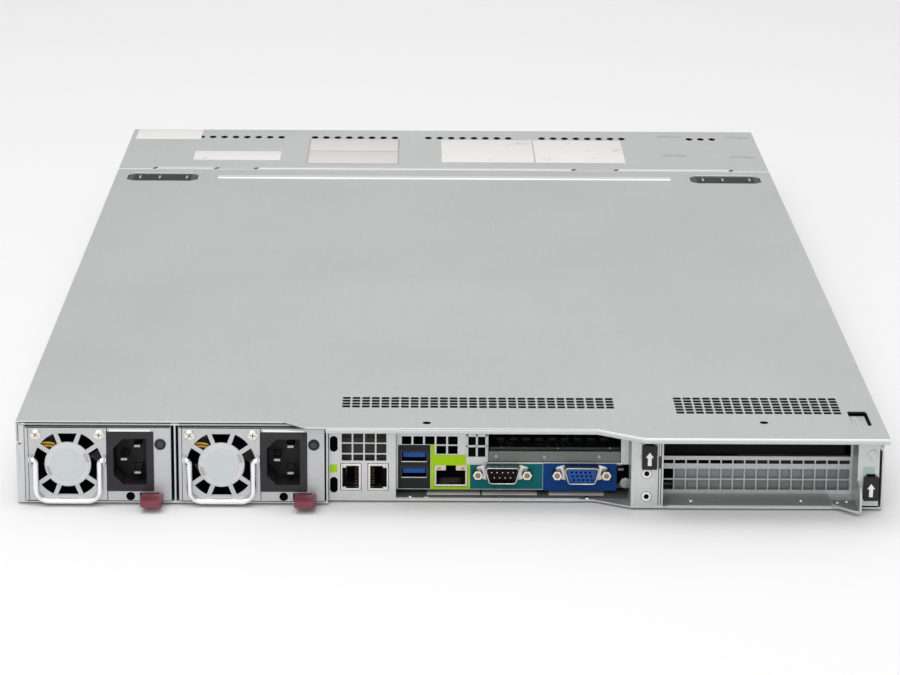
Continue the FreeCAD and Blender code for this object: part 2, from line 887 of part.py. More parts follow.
def cpu_heatsinks():
    """Finned blocks on the two processors."""
    low = board_top + socket_height
    sinks = []
    for x in cpu_x:
        left = x - heatsink_width / 2
        y0 = y_cpu - heatsink_length / 2
        y1 = y_cpu + heatsink_length / 2
        pieces = [box(left, left + heatsink_width, y0, y1, low, low + heatsink_base)]
        pitch = (heatsink_width - fin_thickness) / (heatsink_fins - 1)
        for index in range(heatsink_fins):
            fin = left + pitch * index
            pieces.append(box(fin, fin + fin_thickness, y0, y1, low, heatsink_top()))
        sinks.append(join(pieces))
    return group(sinks)


def air_shroud():
    """Thin ducts over the processors, joined by a bridge at the fan side and standing on the board."""
    high = wall_top - fold_gap
    roof = high - shroud_wall
    inner = heatsink_width / 2 + shroud_air_gap
    outer = inner + shroud_wall
    y0 = y_cpu - heatsink_length / 2 - shroud_lead
    y1 = y_cpu + heatsink_length / 2
    pieces = []
    for x in cpu_x:
        duct = box(x - outer, x + outer, y0, y1, board_top, high)
        pieces.append(duct.cut(box(x - inner, x + inner, y0 - steel, y1 + steel, 0, roof)))
    pieces.append(box(cpu_x[0], cpu_x[1], y0, y0 + shroud_bridge, roof, high))
    return join(pieces)


def psu_cage():
    """Folded cage over the power supplies, with a partition between them."""
    y0 = y_power_board
    right = x_wall_high - fold_gap
    roof = box(x_cage - steel, right, y0, y_psu, wall_top - steel, wall_top)
    walls = [box(x_cage - steel, x_cage, y0, y_psu, steel, wall_top)]
    for index in range(1, psu_count):
        x = psu_x(index) + psu_pitch / 2
        walls.append(box(x - steel / 2, x + steel / 2, y0, y_psu, steel, wall_top))
    return join([roof] + walls)


def power_board():
    """Upright board with a card-edge socket for each power supply."""
    y0 = y_power_board - power_board_thickness
    high = wall_top - steel - fold_gap
    board = box(x_cage, x_wall_high - psu_wall_gap, y0, y_power_board, steel, high)
    pieces = [board]
    slots = []
    half = edge_card_width / 2
    for index in range(psu_count):
        x = psu_x(index)
        y1 = y_power_board + socket_block_depth
        rise = socket_block_height / 2
        reach = half + socket_block_margin
        pieces.append(box(x - reach, x + reach, y_power_board, y1, psu_mid - rise, psu_mid + rise))
        gap = edge_card_thickness / 2 + slide_gap
        reach = half + slide_gap
        y_slot = y1 - edge_card_length - slide_gap
        slots.append(box(x - reach, x + reach, y_slot, y1 + steel, psu_mid - gap, psu_mid + gap))
    return join(pieces).cut(group(slots))


def psu_fan_x(index):
    """Middle of a power supply's fan."""
    return psu_x(index) + psu_fan_offset


def grille_openings(x):
    """Sectors between the spokes of a power supply's fan guard."""
    y0 = y_psu_face - face_steel - slide_gap
    depth = face_steel + 2 * slide_gap
    hole = facet_rod((x, y0, psu_mid), grille_radius, depth, (0, 1, 0), round_sides)
    limit = box(x - grille_radius, x + grille_radius, y0, y0 + depth, psu_mid - grille_half_height,
                psu_mid + grille_half_height)
    web = [facet_rod((x, y0, psu_mid), grille_hub_radius, depth, (0, 1, 0), round_sides)]
    for angle in spoke_angles:
        spoke = box(-spoke_width / 2, spoke_width / 2, y0, y0 + depth, 0, 2 * grille_radius)
        spoke.rotate(FreeCAD.Vector(0, 0, 0), FreeCAD.Vector(0, 1, 0), angle)
        spoke.translate(FreeCAD.Vector(x, 0, psu_mid))
        web.append(spoke)
    return hole.common(limit).cut(join(web))


def psu_housing(index):
    """Power supply case: fan guard cut in the rear face, duct, inlet hole, lamp, handle ears, edge card."""
    x = psu_x(index)
    fan = psu_fan_x(index)
    half = psu_width / 2
    y0 = y_psu_face - psu_length
    case = box(x - half, x + half, y0, y_psu_face, psu_bottom, psu_top)
    y_duct = y_psu_face - face_steel - psu_fan_depth
    duct = facet_rod((fan, y_duct, psu_mid), psu_fan_bore, psu_fan_depth, (0, 1, 0), duct_sides, True)
    case = case.cut(duct).cut(grille_openings(fan))
    card = edge_card_width / 2
    bearing = (fan, y_duct, psu_mid)
    pieces = [case, facet_rod(bearing, psu_boss_radius, psu_boss_length, (0, 1, 0), small_sides)]
    pieces.append(box(x - card, x + card, y0 - edge_card_length, y0, psu_mid - edge_card_thickness / 2,
                      psu_mid + edge_card_thickness / 2))
    z_pivot = psu_mid + handle_pivot_height
    reach = handle_stand + handle_radius + ear_thickness
    for side in (-1, 1):
        near = handle_half_width + handle_bend + slide_gap
        edges = sorted((side * near, side * (near + ear_thickness)))
        pieces.append(box(fan + edges[0], fan + edges[1], y_psu_face, y_psu_face + reach,
                          z_pivot - ear_half_height, z_pivot + ear_half_height))
    cuts = [facet_rod(bearing, shaft_radius + shaft_gap, psu_fan_depth, (0, 1, 0), small_sides, True)]
    span = 2 * (handle_half_width + handle_bend + ear_thickness + 2 * slide_gap)
    pivot = (fan - span / 2, y_psu_face + handle_stand, z_pivot)
    cuts.append(facet_rod(pivot, handle_radius + shaft_gap, span, (1, 0, 0), handle_sides, True))
    cuts.append(inlet_block(index, steel))
    lamp = (x + lamp_offset, y_psu_face - lamp_depth, psu_mid + lamp_height)
    cuts.append(facet_rod(lamp, lamp_radius, lamp_depth + steel, (0, 1, 0), 2 * small_sides))
    key = (x + inlet_offset, y_psu_face - key_hole_depth, psu_bottom + key_hole_height)
    cuts.append(facet_rod(key, key_hole_radius, key_hole_depth + steel, (0, 1, 0), 2 * small_sides))
    neck = latch_neck / 2 + slide_gap
    x_latch = x + latch_offset
    z_latch = psu_bottom + latch_height
    cuts.append(box(x_latch - neck, x_latch + neck + latch_travel, y_psu_face - latch_depth - slide_gap,
                    y_psu_face + steel, z_latch - slide_gap, z_latch + latch_thickness + slide_gap))
    return join(pieces).cut(group(cuts))


def inlet_block(index, proud):
    """Outer block of a mains inlet, reaching a given distance out of the face."""
    x = psu_x(index) + inlet_offset
    return box(x - inlet_width / 2, x + inlet_width / 2, y_psu_face - inlet_depth, y_psu_face + proud,
               inlet_mid - inlet_height / 2, inlet_mid + inlet_height / 2)


def power_inlet(index):
    """Three-pin mains inlet with a chamfered cavity and its blades."""
    x = psu_x(index) + inlet_offset
    mouth = y_psu_face + inlet_proud
    half = inlet_cavity_width / 2
    high = inlet_cavity_height / 2
    cut = inlet_chamfer
    outline = [(-half, -high), (half - cut, -high), (half, cut - high)]
    outline += [(half, high - cut), (half - cut, high), (-half, high)]
    cavity = prism_y([(x + p, inlet_mid + q) for p, q in outline], mouth - inlet_cavity_depth, mouth + steel)
    blades = []
    for dx, dz in ((blade_side, 0), (-blade_side, blade_rise), (-blade_side, -blade_rise)):
        y0 = mouth - inlet_cavity_depth
        blades.append(box(x + dx - blade_width / 2, x + dx + blade_width / 2, y0 - steel, y0 + blade_length,
                          inlet_mid + dz - blade_thickness / 2, inlet_mid + dz + blade_thickness / 2))
    return join([inlet_block(index, inlet_proud).cut(cavity)] + blades)


def psu_fan_rotor(index):
    """Rotor behind a power supply's fan guard."""
    y_boss = y_psu_face - face_steel - psu_fan_depth + psu_boss_length
    face = y_boss + slide_gap + psu_rotor_length
    return rotor(psu_fan_x(index), psu_mid, face, psu_rotor_length, psu_fan_bore - fan_tip_gap)


def psu_handle(index):
    """Bent wire bail, hanging down from two ears beside the fan."""
    x = psu_fan_x(index)
    y = y_psu_face + handle_stand
    top = psu_mid + handle_pivot_height
    low = top - handle_drop
    tip = handle_half_width + handle_bend + ear_thickness + 2 * slide_gap
    corners = [(-tip, top), (-handle_half_width, top), (-handle_half_width, low)]
    corners += [(-p, q) for p, q in reversed(corners)]
    bends = [handle_bend, handle_corner, handle_corner, handle_bend]
    path = bent_path([FreeCAD.Vector(x + p, y, q) for p, q in corners], bends)
    section = []
    for index in range(handle_sides + 1):
        turn = 2 * math.pi * (index + 0.5) / handle_sides
        section.append(path[0] + FreeCAD.Vector(0, math.cos(turn), math.sin(turn)) * handle_radius)
    mitred = 1
    return Part.makePolygon(path).makePipeShell([Part.makePolygon(section)], True, False, mitred)


def bent_path(points, bends):
    """Points of a path with each square corner turned in short chords round its bend radius."""
    path = [points[0]]
    for before, corner, after, radius in zip(points, points[1:], points[2:], bends):
        inward = (before - corner).normalize() * radius
        outward = (after - corner).normalize() * radius
        centre = corner + inward + outward
        for step in range(bend_chords + 1):
            turn = math.pi / 2 * step / bend_chords
            path.append(centre - outward * math.cos(turn) - inward * math.sin(turn))
    return path + points[-1:]


def psu_latch(index):
    """Release tab that is pushed sideways, on a neck that runs in a slot of the case."""
    x = psu_x(index) + latch_offset
    z0 = psu_bottom + latch_height
    half = latch_width / 2
    y0 = y_psu_face + slide_gap
    tab_outline = [
        (x - half, y0),
        (x + half, y0),
        (x + half, y0 + latch_reach - steel),
        (x + half - steel, y0 + latch_reach),
        (x - half + steel, y0 + latch_reach),
        (x - half, y0 + latch_reach - steel),
    ]
    tab = prism_z(tab_outline, z0, z0 + latch_thickness)
    neck = box(x - latch_neck / 2, x + latch_neck / 2, y_psu_face - latch_depth, y0, z0, z0 + latch_thickness)
    return join([tab, neck])


def network_jack(x, low, y_face, width, height, depth, notch_side):
    """Jack shell open to the rear, with the plug's latch notch on one side (-1, 1) or on top (0)."""
    shell = box(x - width / 2, x + width / 2, y_face - depth, y_face, low, low + height)
    high = low + height - jack_wall
    low += jack_wall
    side = width / 2 - jack_wall
    y0 = y_face - jack_cavity_depth
    y1 = y_face + steel
    half = jack_notch_length / 2
    if notch_side == 0:
        cavity = box(x - side, x + side, y0, y1, low, high - jack_notch)
        return shell.cut(cavity).cut(box(x - half, x + half, y0, y1, low, high))
    inner = sorted((x - notch_side * side, x + notch_side * (side - jack_notch)))
    cavity = box(inner[0], inner[1], y0, y1, low, high)
    edges = sorted((x, x + notch_side * side))
    middle = (low + high) / 2
    return shell.cut(cavity).cut(box(edges[0], edges[1], y0, y1, middle - half, middle + half))


def network_jacks():
    """Two upright network jacks in the bracket and the management jack on the main board."""
    size = (lan_jack_width, lan_jack_height, lan_jack_depth)
    jacks = []
    for offset, side in zip(lan_jack_offsets, (1, -1)):
        x = x_lan - offset - lan_jack_width / 2
        jacks.append(network_jack(x, board_top, y_io, *size, side))
    size = (management_width, management_height, management_depth)
    jacks.append(network_jack(x_io - management_offset, board_top, y_shield, *size, 0))
    return group(jacks)


def lan_bracket():
    """Bracket with vents, finger holes and two jack cut-outs, folded back beside the shield."""
    path = [(x_lan - lan_width, y_shield - steel), (x_lan - lan_width, y_io), (x_lan, y_io)]
    plate = folded_strip(path, steel, steel, wall_top)
    y0 = y_io - 2 * steel
    y1 = y_io + steel
    cuts = []
    for offset in lan_jack_offsets:
        x = x_lan - offset
        cuts.append(box(x - lan_jack_width - fold_gap, x + fold_gap, y0, y1, board_top - fold_gap,
                        board_top + lan_jack_height + fold_gap))
    for i in range(lan_vent_columns):
        for z, height in lan_vent_rows:
            x = x_lan - lan_vent_offset - lan_vent_pitch * i
            cuts.append(box(x - lan_vent_width, x, y0, y1, z, z + height))
    half = finger_hole_width / 2
    edge = half - finger_hole_corner
    middle = x_lan - finger_hole_offset - half
    for z in finger_hole_heights:
        low = z + finger_hole_corner
        top = z + finger_hole_height
        outline = [(-edge, z), (edge, z), (half, low), (half, top - finger_hole_corner)]
        outline += [(edge, top), (-edge, top), (-half, top - finger_hole_corner), (-half, low)]
        cuts.append(prism_y([(middle + p, q) for p, q in outline], y0, y1))
    return plate.cut(group(cuts))


def usb_ports():
    """Stacked pair of ports, each with its contact tongue."""
    x = x_io - usb_offset
    half = usb_width / 2
    block = box(x - half, x + half, y_shield - usb_depth, y_shield, board_top, board_top + usb_height)
    tongues = []
    for height in usb_port_heights:
        z = board_top + height
        port = usb_port_width / 2
        rise = usb_port_height / 2
        y_port = y_shield - usb_port_depth
        block = block.cut(box(x - port, x + port, y_port, y_shield + steel, z - rise, z + rise))
        tongue = usb_tongue_width / 2
        z += usb_tongue_rise
        rise = usb_tongue_thickness / 2
        tongues.append(box(x - tongue, x + tongue, y_port - steel, y_shield - steel, z - rise, z + rise))
    return join([block] + tongues)


def d_outline(x, z, width, height, taper):
    """D-shaped outline, wider at the top."""
    half = width / 2
    rise = height / 2
    foot = half - taper
    return [(x - foot, z - rise), (x + foot, z - rise), (x + half, z + rise), (x - half, z + rise)]


def dsub_port(offset, insert_proud):
    """Shielded D connector: flange, shell with its insert, jack screws and a body on the main board."""
    x = x_io - offset
    z = board_top + dsub_rise
    y_flange = y_shield - shield_steel
    half = dsub_flange_width / 2
    rise = dsub_flange_height / 2
    flange = box(x - half, x + half, y_flange - dsub_flange_thickness, y_flange, z - rise, z + rise)
    y_end = y_flange + dsub_shell_length
    shell = prism_y(d_outline(x, z, dsub_shell_width, dsub_shell_height, dsub_shell_taper), y_flange, y_end)
    wall = 2 * dsub_shell_wall
    inside = d_outline(x, z, dsub_shell_width - wall, dsub_shell_height - wall, dsub_shell_taper)
    y_insert = y_flange + insert_proud
    shell = shell.cut(prism_y(inside, y_insert, y_end + steel))
    pieces = [flange, shell]
    for side in (-1, 1):
        foot = (x + side * jack_screw_pitch / 2, y_flange, z)
        pieces.append(facet_rod(foot, jack_screw_radius, jack_screw_length, (0, 1, 0), 6))
    y_body = y_flange - dsub_flange_thickness
    half = dsub_shell_width / 2
    pieces.append(box(x - half, x + half, y_body - dsub_body_depth, y_body, board_top, z + rise))
    return join(pieces)


def dsub_ports():
    """Serial port with a hollow shell and screen port with a filled one."""
    return group([dsub_port(serial_offset, shield_steel), dsub_port(screen_offset, dsub_insert_length)])


def io_shield():
    """Thin plate round the connectors, with vents above them and a large opening for cards."""
    left = x_post + fold_gap
    plate = box(left, x_io, y_shield - shield_steel, y_shield, shield_low, wall_top)
    y0 = y_shield - shield_steel - steel
    y1 = y_shield + steel
    gap = shield_cut_gap
    cuts = []
    x = x_io - usb_offset
    half = usb_width / 2 + gap
    cuts.append(box(x - half, x + half, y0, y1, board_top - gap, board_top + usb_height + gap))
    x = x_io - management_offset
    half = management_width / 2 + gap
    cuts.append(box(x - half, x + half, y0, y1, board_top - gap, board_top + management_height + gap))
    z = board_top + dsub_rise
    for offset in (serial_offset, screen_offset):
        x = x_io - offset
        half = dsub_shell_width / 2 + gap
        rise = dsub_shell_height / 2 + gap
        cuts.append(box(x - half, x + half, y0, y1, z - rise, z + rise))
        for side in (-1, 1):
            middle = x + side * jack_screw_pitch / 2
            reach = jack_screw_radius + gap
            cuts.append(box(middle - reach, middle + reach, y0, y1, z - reach, z + reach))
    last = shield_vent_rows[0][1] - 1
    for z, columns in shield_vent_rows:
        for index in range(columns):
            x = x_io - shield_vent_offset - shield_vent_pitch * (last - index)
            cuts.append(box(x - shield_vent_width, x, y0, y1, z, z + shield_vent_height))
    notch = left + shield_notch_width
    cuts.append(box(left - steel, notch, y0, y1, shield_low - steel, shield_notch_top))
    x = x_io - slot_offset
    cuts.append(box(x - slot_width, x, y0, y1, slot_low - sill_height - gap, wall_top - steel))
    return plate.cut(group(cuts))


def riser_bracket():
    """Folded card support: a sill across the opening, a shelf and a leg that stands on the main board."""
    x1 = x_io - slot_offset - fold_gap
    x0 = x1 - slot_width + 2 * fold_gap
    y0 = y_shield - riser_depth
    section = [
        (y_shield, slot_low - sill_height),
        (y_shield, slot_low),
        (y0, slot_low),
        (y0, board_top),
        (y0 + steel, board_top),
        (y0 + steel, slot_low - steel),
        (y_shield - steel, slot_low - steel),
        (y_shield - steel, slot_low - sill_height),
    ]
    return prism_x(section, x0, x1)


def tab_places():
    """Middle and lower edge of the two sliding locks of the expansion bay."""
    post = (x_post + x_bay_end) / 2 - post_tab_shift
    corner = -x_wall_high + tab_width / 2 + slide_gap
    return ((post, post_tab_low), (corner, corner_tab_low))


def expansion_bay():
    """Folded rear frame of the card bay: post, perforated partition, corner plate, pull tab, lock slots."""
    y_inner = y_shield - steel
    path = [
        (x_post, y_inner),
        (x_post, y_bay),
        (x_bay_end, y_bay),
        (x_bay_end, y_partition),
        (x_corner, y_partition),
        (x_corner, y_bay),
        (-x_wall_high, y_bay),
    ]
    frame = folded_strip(path, -steel, steel, wall_top)
    low = partition_height + steel
    above = (low, chassis_height)
    frame = frame.cut(box(x_corner + steel, x_bay_end - steel, y_partition - 2 * steel, y_bay, *above))
    y_sheet = y_partition - inner_sheet_setback
    span = (board_bottom + fold_gap, bay_slot_low - steel)
    sheet = box(x_corner, x_bay_end - inner_sheet_end, y_sheet - steel, y_sheet, *span)
    web = box(x_corner, x_corner + steel, y_sheet - steel, y_partition, *span)
    reach = y_bay + pull_tab_reach
    high = steel + pull_tab_height
    outline = [(y_bay, steel), (reach, steel), (reach, high), (y_bay, high)]
    corners = [FreeCAD.Vector(x_corner, y, z) for y, z in outline]
    tab = prism(bent_path(corners, [pull_tab_foot_radius, pull_tab_radius]), (-steel, 0, 0))
    tip = reach - pull_tab_foot_radius
    inside = y_bay - pull_foot_length
    far = x_corner + pull_foot_width
    foot_outline = [(x_corner, inside), (far, inside), (far, y_bay)]
    foot_outline += [(x_corner + pull_tab_foot_radius, tip), (x_corner, tip)]
    foot = prism_z(foot_outline, steel, 2 * steel)
    cuts = []
    y0 = y_partition - 2 * steel
    y1 = y_partition + steel
    room = bay_width - 2 * bay_hole_margin + bay_hole_pitch - bay_hole_size
    columns = int(room / bay_hole_pitch)
    first = (x_corner + x_bay_end - bay_hole_pitch * (columns - 1)) / 2
    for index in range(columns):
        x = first + bay_hole_pitch * index
        half = bay_hole_size / 2
        for row in range(2):
            z = bay_hole_low + bay_hole_pitch * row
            cuts.append(box(x - half, x + half, y0, y1, z, z + bay_hole_size))
        cuts.append(box(x - half, x + half, y0, y1, bay_slot_low, bay_slot_low + bay_slot_height))
    for x, z in tab_places():
        half = tab_stem_width / 2 + slide_gap
        z_stem = z + (tab_height - tab_stem_height) / 2
        cuts.append(box(x - half, x + half, y_bay - 2 * steel, y_bay + steel, z_stem - slide_gap,
                        z_stem + tab_stem_height + tab_travel + slide_gap))
    return join([frame.cut(group(cuts)), tab, foot, sheet, web])


def sliding_lock(x, low):
    """Sliding lock: pad outside the sheet, stem through its slot and a plate behind."""
    half = tab_width / 2
    y0 = y_bay + slide_gap
    pad = box(x - half, x + half, y0, y0 + tab_thickness, low, low + tab_height)
    stem_half = tab_stem_width / 2
    z_stem = low + (tab_height - tab_stem_height) / 2
    y_back = y_bay - steel - slide_gap
    stem = box(x - stem_half, x + stem_half, y_back, y0, z_stem, z_stem + tab_stem_height)
    back_half = stem_half + tab_back_margin
    back = box(x - back_half, x + back_half, y_back - tab_back_thickness, y_back, z_stem - tab_back_margin,
               z_stem + tab_stem_height + tab_back_margin)
    return join([pad, stem, back])


def build():
    """All pieces by name."""
    pieces = {
        "chassis_tray": chassis_tray(),
        "front_top_panel": front_top_panel(),
        "top_cover": top_cover(),
        "drive_cage": drive_cage(),
        "drive_backplane": drive_backplane(),
        "control_panel": control_panel(),
        "power_button": power_button(),
        "fan_frames": fan_frames(),
        "motherboard": motherboard(),
        "memory_modules": memory_modules(),
        "cpu_heatsinks": cpu_heatsinks(),
        "air_shroud": air_shroud(),
        "psu_cage": psu_cage(),
        "power_board": power_board(),
        "lan_bracket": lan_bracket(),
        "network_jacks": network_jacks(),
        "usb_ports": usb_ports(),
        "dsub_ports": dsub_ports(),
        "io_shield": io_shield(),
        "riser_bracket": riser_bracket(),
        "expansion_bay": expansion_bay(),
    }
    for name, place in zip(("cover_release_left", "cover_release_right"), release_places()):
        pieces[name] = cover_release(*place)
    for name, place in zip(("bay_lock_post", "bay_lock_corner"), tab_places()):
        pieces[name] = sliding_lock(*place)
    for index in range(fan_count):
        pieces[f"fan_rotor_{index + 1}"] = fan_rotor(index)
    for index in range(psu_count):
        pieces[f"psu_housing_{index + 1}"] = psu_housing(index)
        pieces[f"power_inlet_{index + 1}"] = power_inlet(index)
        pieces[f"psu_fan_rotor_{index + 1}"] = psu_fan_rotor(index)
        pieces[f"psu_handle_{index + 1}"] = psu_handle(index)
        pieces[f"psu_latch_{index + 1}"] = psu_latch(index)
    for row in range(bay_rows):
        for column in range(bay_columns):
            number = row * bay_columns + column + 1
            pieces[f"drive_carrier_{number:02d}"] = drive_carrier(column, row)
            pieces[f"drive_lever_{number:02d}"] = drive_lever(column, row)
    return pieces


os.makedirs("parts", exist_ok=True)
for node, shape in build().items():
    shape.exportStep(f"parts/{node}.step")
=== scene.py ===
"""Looks of a rack server on a pale studio floor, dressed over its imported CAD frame."""
import json
import logging
import math
from dataclasses import dataclass
from enum import Enum
from typing import Any, Sequence

import bmesh
import bpy
from mathutils import Matrix, Vector


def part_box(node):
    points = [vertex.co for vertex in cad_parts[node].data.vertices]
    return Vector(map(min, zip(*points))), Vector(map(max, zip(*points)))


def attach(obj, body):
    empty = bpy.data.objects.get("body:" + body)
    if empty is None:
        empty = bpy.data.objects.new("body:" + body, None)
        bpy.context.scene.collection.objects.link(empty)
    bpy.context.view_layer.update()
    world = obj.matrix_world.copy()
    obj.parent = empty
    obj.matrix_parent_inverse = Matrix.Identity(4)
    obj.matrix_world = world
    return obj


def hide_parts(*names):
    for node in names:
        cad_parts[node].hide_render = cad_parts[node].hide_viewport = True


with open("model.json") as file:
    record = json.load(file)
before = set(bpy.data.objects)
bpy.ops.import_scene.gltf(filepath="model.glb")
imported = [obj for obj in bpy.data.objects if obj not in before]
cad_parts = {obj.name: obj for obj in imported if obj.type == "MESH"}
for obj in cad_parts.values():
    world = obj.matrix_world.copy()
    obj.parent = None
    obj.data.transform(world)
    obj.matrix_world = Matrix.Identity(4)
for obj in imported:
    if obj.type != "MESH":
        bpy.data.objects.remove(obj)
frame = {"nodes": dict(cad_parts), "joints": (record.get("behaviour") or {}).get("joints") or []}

LOG = logging.getLogger("rack_server")
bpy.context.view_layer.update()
MM = 0.001
CHASSIS = "chassis"

Point = tuple[float, float, float]
Colour = tuple[float, float, float]
Flat = tuple[float, float]
Patch = tuple[Flat, Flat]
Profile = tuple[Flat, ...]
Row = tuple[float, float, int]


class Axis(Enum):
    """Direction that a flat outline is pushed along; the outline lies on the other two axes in order."""

    X = 0
    Y = 1
    Z = 2

    def place(self, flat: Flat, along: float) -> Vector:
        """Turns a flat point and a distance along the axis into a point.

        Args:
            flat: the two other coordinates, in X, Y, Z order.
            along: the coordinate on this axis.

        Returns:
            The point in space.
        """
        values = list(flat)
        values.insert(self.value, along)
        return Vector(values)

    def across(self, spot: Point) -> Flat:
        """The two other coordinates of a point."""
        return tuple(c for i, c in enumerate(spot) if i != self.value)


class Slot(Enum):
    """Material slots of the CAD record."""

    COVER = "cover_steel"
    TRAY = "tray_steel"
    PSU = "psu_steel"
    CONNECTOR = "connector_steel"
    WIRE = "wire_chrome"
    FIN = "fin_aluminium"
    BLACK = "black_plastic"
    BEZEL = "bezel_plastic"
    SHROUD = "shroud_plastic"
    LATCH = "latch_plastic"
    BOARD = "board"
    MODULE = "module"


class Signal:
    """A shader value written in plain arithmetic; each operation adds a Math node."""

    def __init__(self, graph: "Graph", socket: bpy.types.NodeSocket) -> None:
        """Keeps the graph and the socket that carries the value."""
        self.graph = graph
        self.socket = socket

    def __add__(self, other: "Signal | float") -> "Signal":
        """Sum."""
        return self.graph.math("ADD", self, other)

    def __radd__(self, other: float) -> "Signal":
        """Sum with a number first."""
        return self.graph.math("ADD", other, self)

    def __sub__(self, other: "Signal | float") -> "Signal":
        """Difference."""
        return self.graph.math("SUBTRACT", self, other)

    def __rsub__(self, other: float) -> "Signal":
        """Number minus this value."""
        return self.graph.math("SUBTRACT", other, self)

    def __mul__(self, other: "Signal | float") -> "Signal":
        """Product."""
        return self.graph.math("MULTIPLY", self, other)

    def __rmul__(self, other: float) -> "Signal":
        """Product with a number first."""
        return self.graph.math("MULTIPLY", other, self)

    def __truediv__(self, other: "Signal | float") -> "Signal":
        """Quotient."""
        return self.graph.math("DIVIDE", self, other)

    def __rtruediv__(self, other: float) -> "Signal":
        """Number divided by this value."""
        return self.graph.math("DIVIDE", other, self)

    def __gt__(self, other: "Signal | float") -> "Signal":
        """One where this value is larger, zero elsewhere."""
        return self.graph.math("GREATER_THAN", self, other)

    def __lt__(self, other: "Signal | float") -> "Signal":
        """One where this value is smaller, zero elsewhere."""
        return self.graph.math("LESS_THAN", self, other)

    def __abs__(self) -> "Signal":
        """Size without sign."""
        return self.graph.math("ABSOLUTE", self, 0.0)

    def fraction(self) -> "Signal":
        """Part after the point, for patterns that repeat."""
        return self.graph.math("FRACT", self, 0.0)


class Graph:
    """Node tree of one material, with its main shader."""

    def __init__(self, name: str) -> None:
        """Starts an empty material with one shader.

        Args:
            name: name of the material.
        """
        self.material = bpy.data.materials.new(name)
        self.material.use_nodes = True
        self.tree = self.material.node_tree
        self.tree.nodes.clear()
        self.shader = self.tree.nodes.new("ShaderNodeBsdfPrincipled")
        output = self.tree.nodes.new("ShaderNodeOutputMaterial")
        self.tree.links.new(self.shader.outputs[0], output.inputs[0])

    def node(self, kind: str, settings: dict[str, Any], inputs: dict[Any, Any], out: int | str = 0) -> Signal:
        """Adds a node, sets it up, then fills its sockets.

        Args:
            kind: Blender's node type.
            settings: attributes of the node.
            inputs: values or signals by socket name or number.
            out: name or number of the socket to return.

        Returns:
            The chosen output.
        """
        node = self.tree.nodes.new(kind)
        for key, value in settings.items():
            setattr(node, key, value)
        for key, value in inputs.items():
            self.feed(node.inputs[key], value)
        return Signal(self, node.outputs[out])

    def feed(self, socket: bpy.types.NodeSocket, value: Any) -> None:
        """Links a signal to a socket, or sets the socket's own value.

        Args:
            socket: the socket.
            value: a signal or a plain value.
        """
        if isinstance(value, Signal):
            self.tree.links.new(value.socket, socket)
        else:
            socket.default_value = value

    def math(self, operation: str, left: Signal | float, right: Signal | float) -> Signal:
        """Adds a Math node."""
        return self.node("ShaderNodeMath", {"operation": operation}, {0: left, 1: right})

    def blend(self, factor: Signal, low: Any, high: Any) -> Signal:
        """Mixes two colours.

        Args:
            factor: zero for the first colour, one for the second.
            low: first colour, a tuple or a signal.
            high: second colour, a tuple or a signal.

        Returns:
            The mixed colour.
        """
        low, high = ((*c, 1.0) if isinstance(c, tuple) else c for c in (low, high))
        settings = {"data_type": "RGBA", "blend_type": "MIX", "clamp_factor": True}
        return self.node("ShaderNodeMix", settings, {0: factor, 6: low, 7: high}, 2)

    def place(self, stretch: Point = (1.0, 1.0, 1.0)) -> Signal:
        """Position on the object in metres, stretched along its axes.

        Args:
            stretch: share of each axis.

        Returns:
            The position.
        """
        spot = self.node("ShaderNodeTexCoord", {}, {}, "Object")
        if stretch == (1.0, 1.0, 1.0):
            return spot
        return self.node("ShaderNodeVectorMath", {"operation": "MULTIPLY"}, {0: spot, 1: stretch})

    def parts(self) -> tuple[Signal, Signal, Signal]:
        """The three coordinates of the position, in millimetres."""
        first = self.node("ShaderNodeSeparateXYZ", {}, {0: self.place((1 / MM, 1 / MM, 1 / MM))})
        return tuple(Signal(self, socket) for socket in first.socket.node.outputs)

    def facing(self, axis: Axis) -> Signal:
        """How far the surface faces along an axis, from -1 to 1."""
        normal = self.node("ShaderNodeNewGeometry", {}, {}, "Normal")
        return self.node("ShaderNodeSeparateXYZ", {}, {0: normal}, axis.name)

    def noise(self, scale: float, detail: float = 2.0, stretch: Point = (1.0, 1.0, 1.0)) -> Signal:
        """Soft noise around one half."""
        inputs = {"Vector": self.place(stretch), "Scale": scale, "Detail": detail, "Roughness": 0.55}
        return self.node("ShaderNodeTexNoise", {}, inputs)

    def cells(self, scale: float) -> Signal:
        """Distance from the middle of irregular cells."""
        return self.node("ShaderNodeTexVoronoi", {"feature": "F1"}, {"Vector": self.place(), "Scale": scale})

    def ranged(self, value: Signal, low: float, high: float, start: float = 0.0, end: float = 1.0) -> Signal:
        """Maps low..high to start..end and holds it there."""
        return self.node("ShaderNodeMapRange", {"clamp": True}, {0: value, 1: low, 2: high, 3: start, 4: end})

    def bump(self, height: Signal, distance: float, strength: float = 1.0) -> None:
        """Gives the shader a relief of a height signal, in metres."""
        inputs = {"Height": height, "Distance": distance, "Strength": strength}
        self.feed(self.shader.inputs["Normal"], self.node("ShaderNodeBump", {}, inputs))

    def set(self, **values: Any) -> None:
        """Sets the shader's sockets; underscores stand for spaces in their names."""
        for key, value in values.items():
            value = (*value, 1.0) if isinstance(value, tuple) and len(value) == 3 else value
            self.feed(self.shader.inputs[key.replace("_", " ")], value)


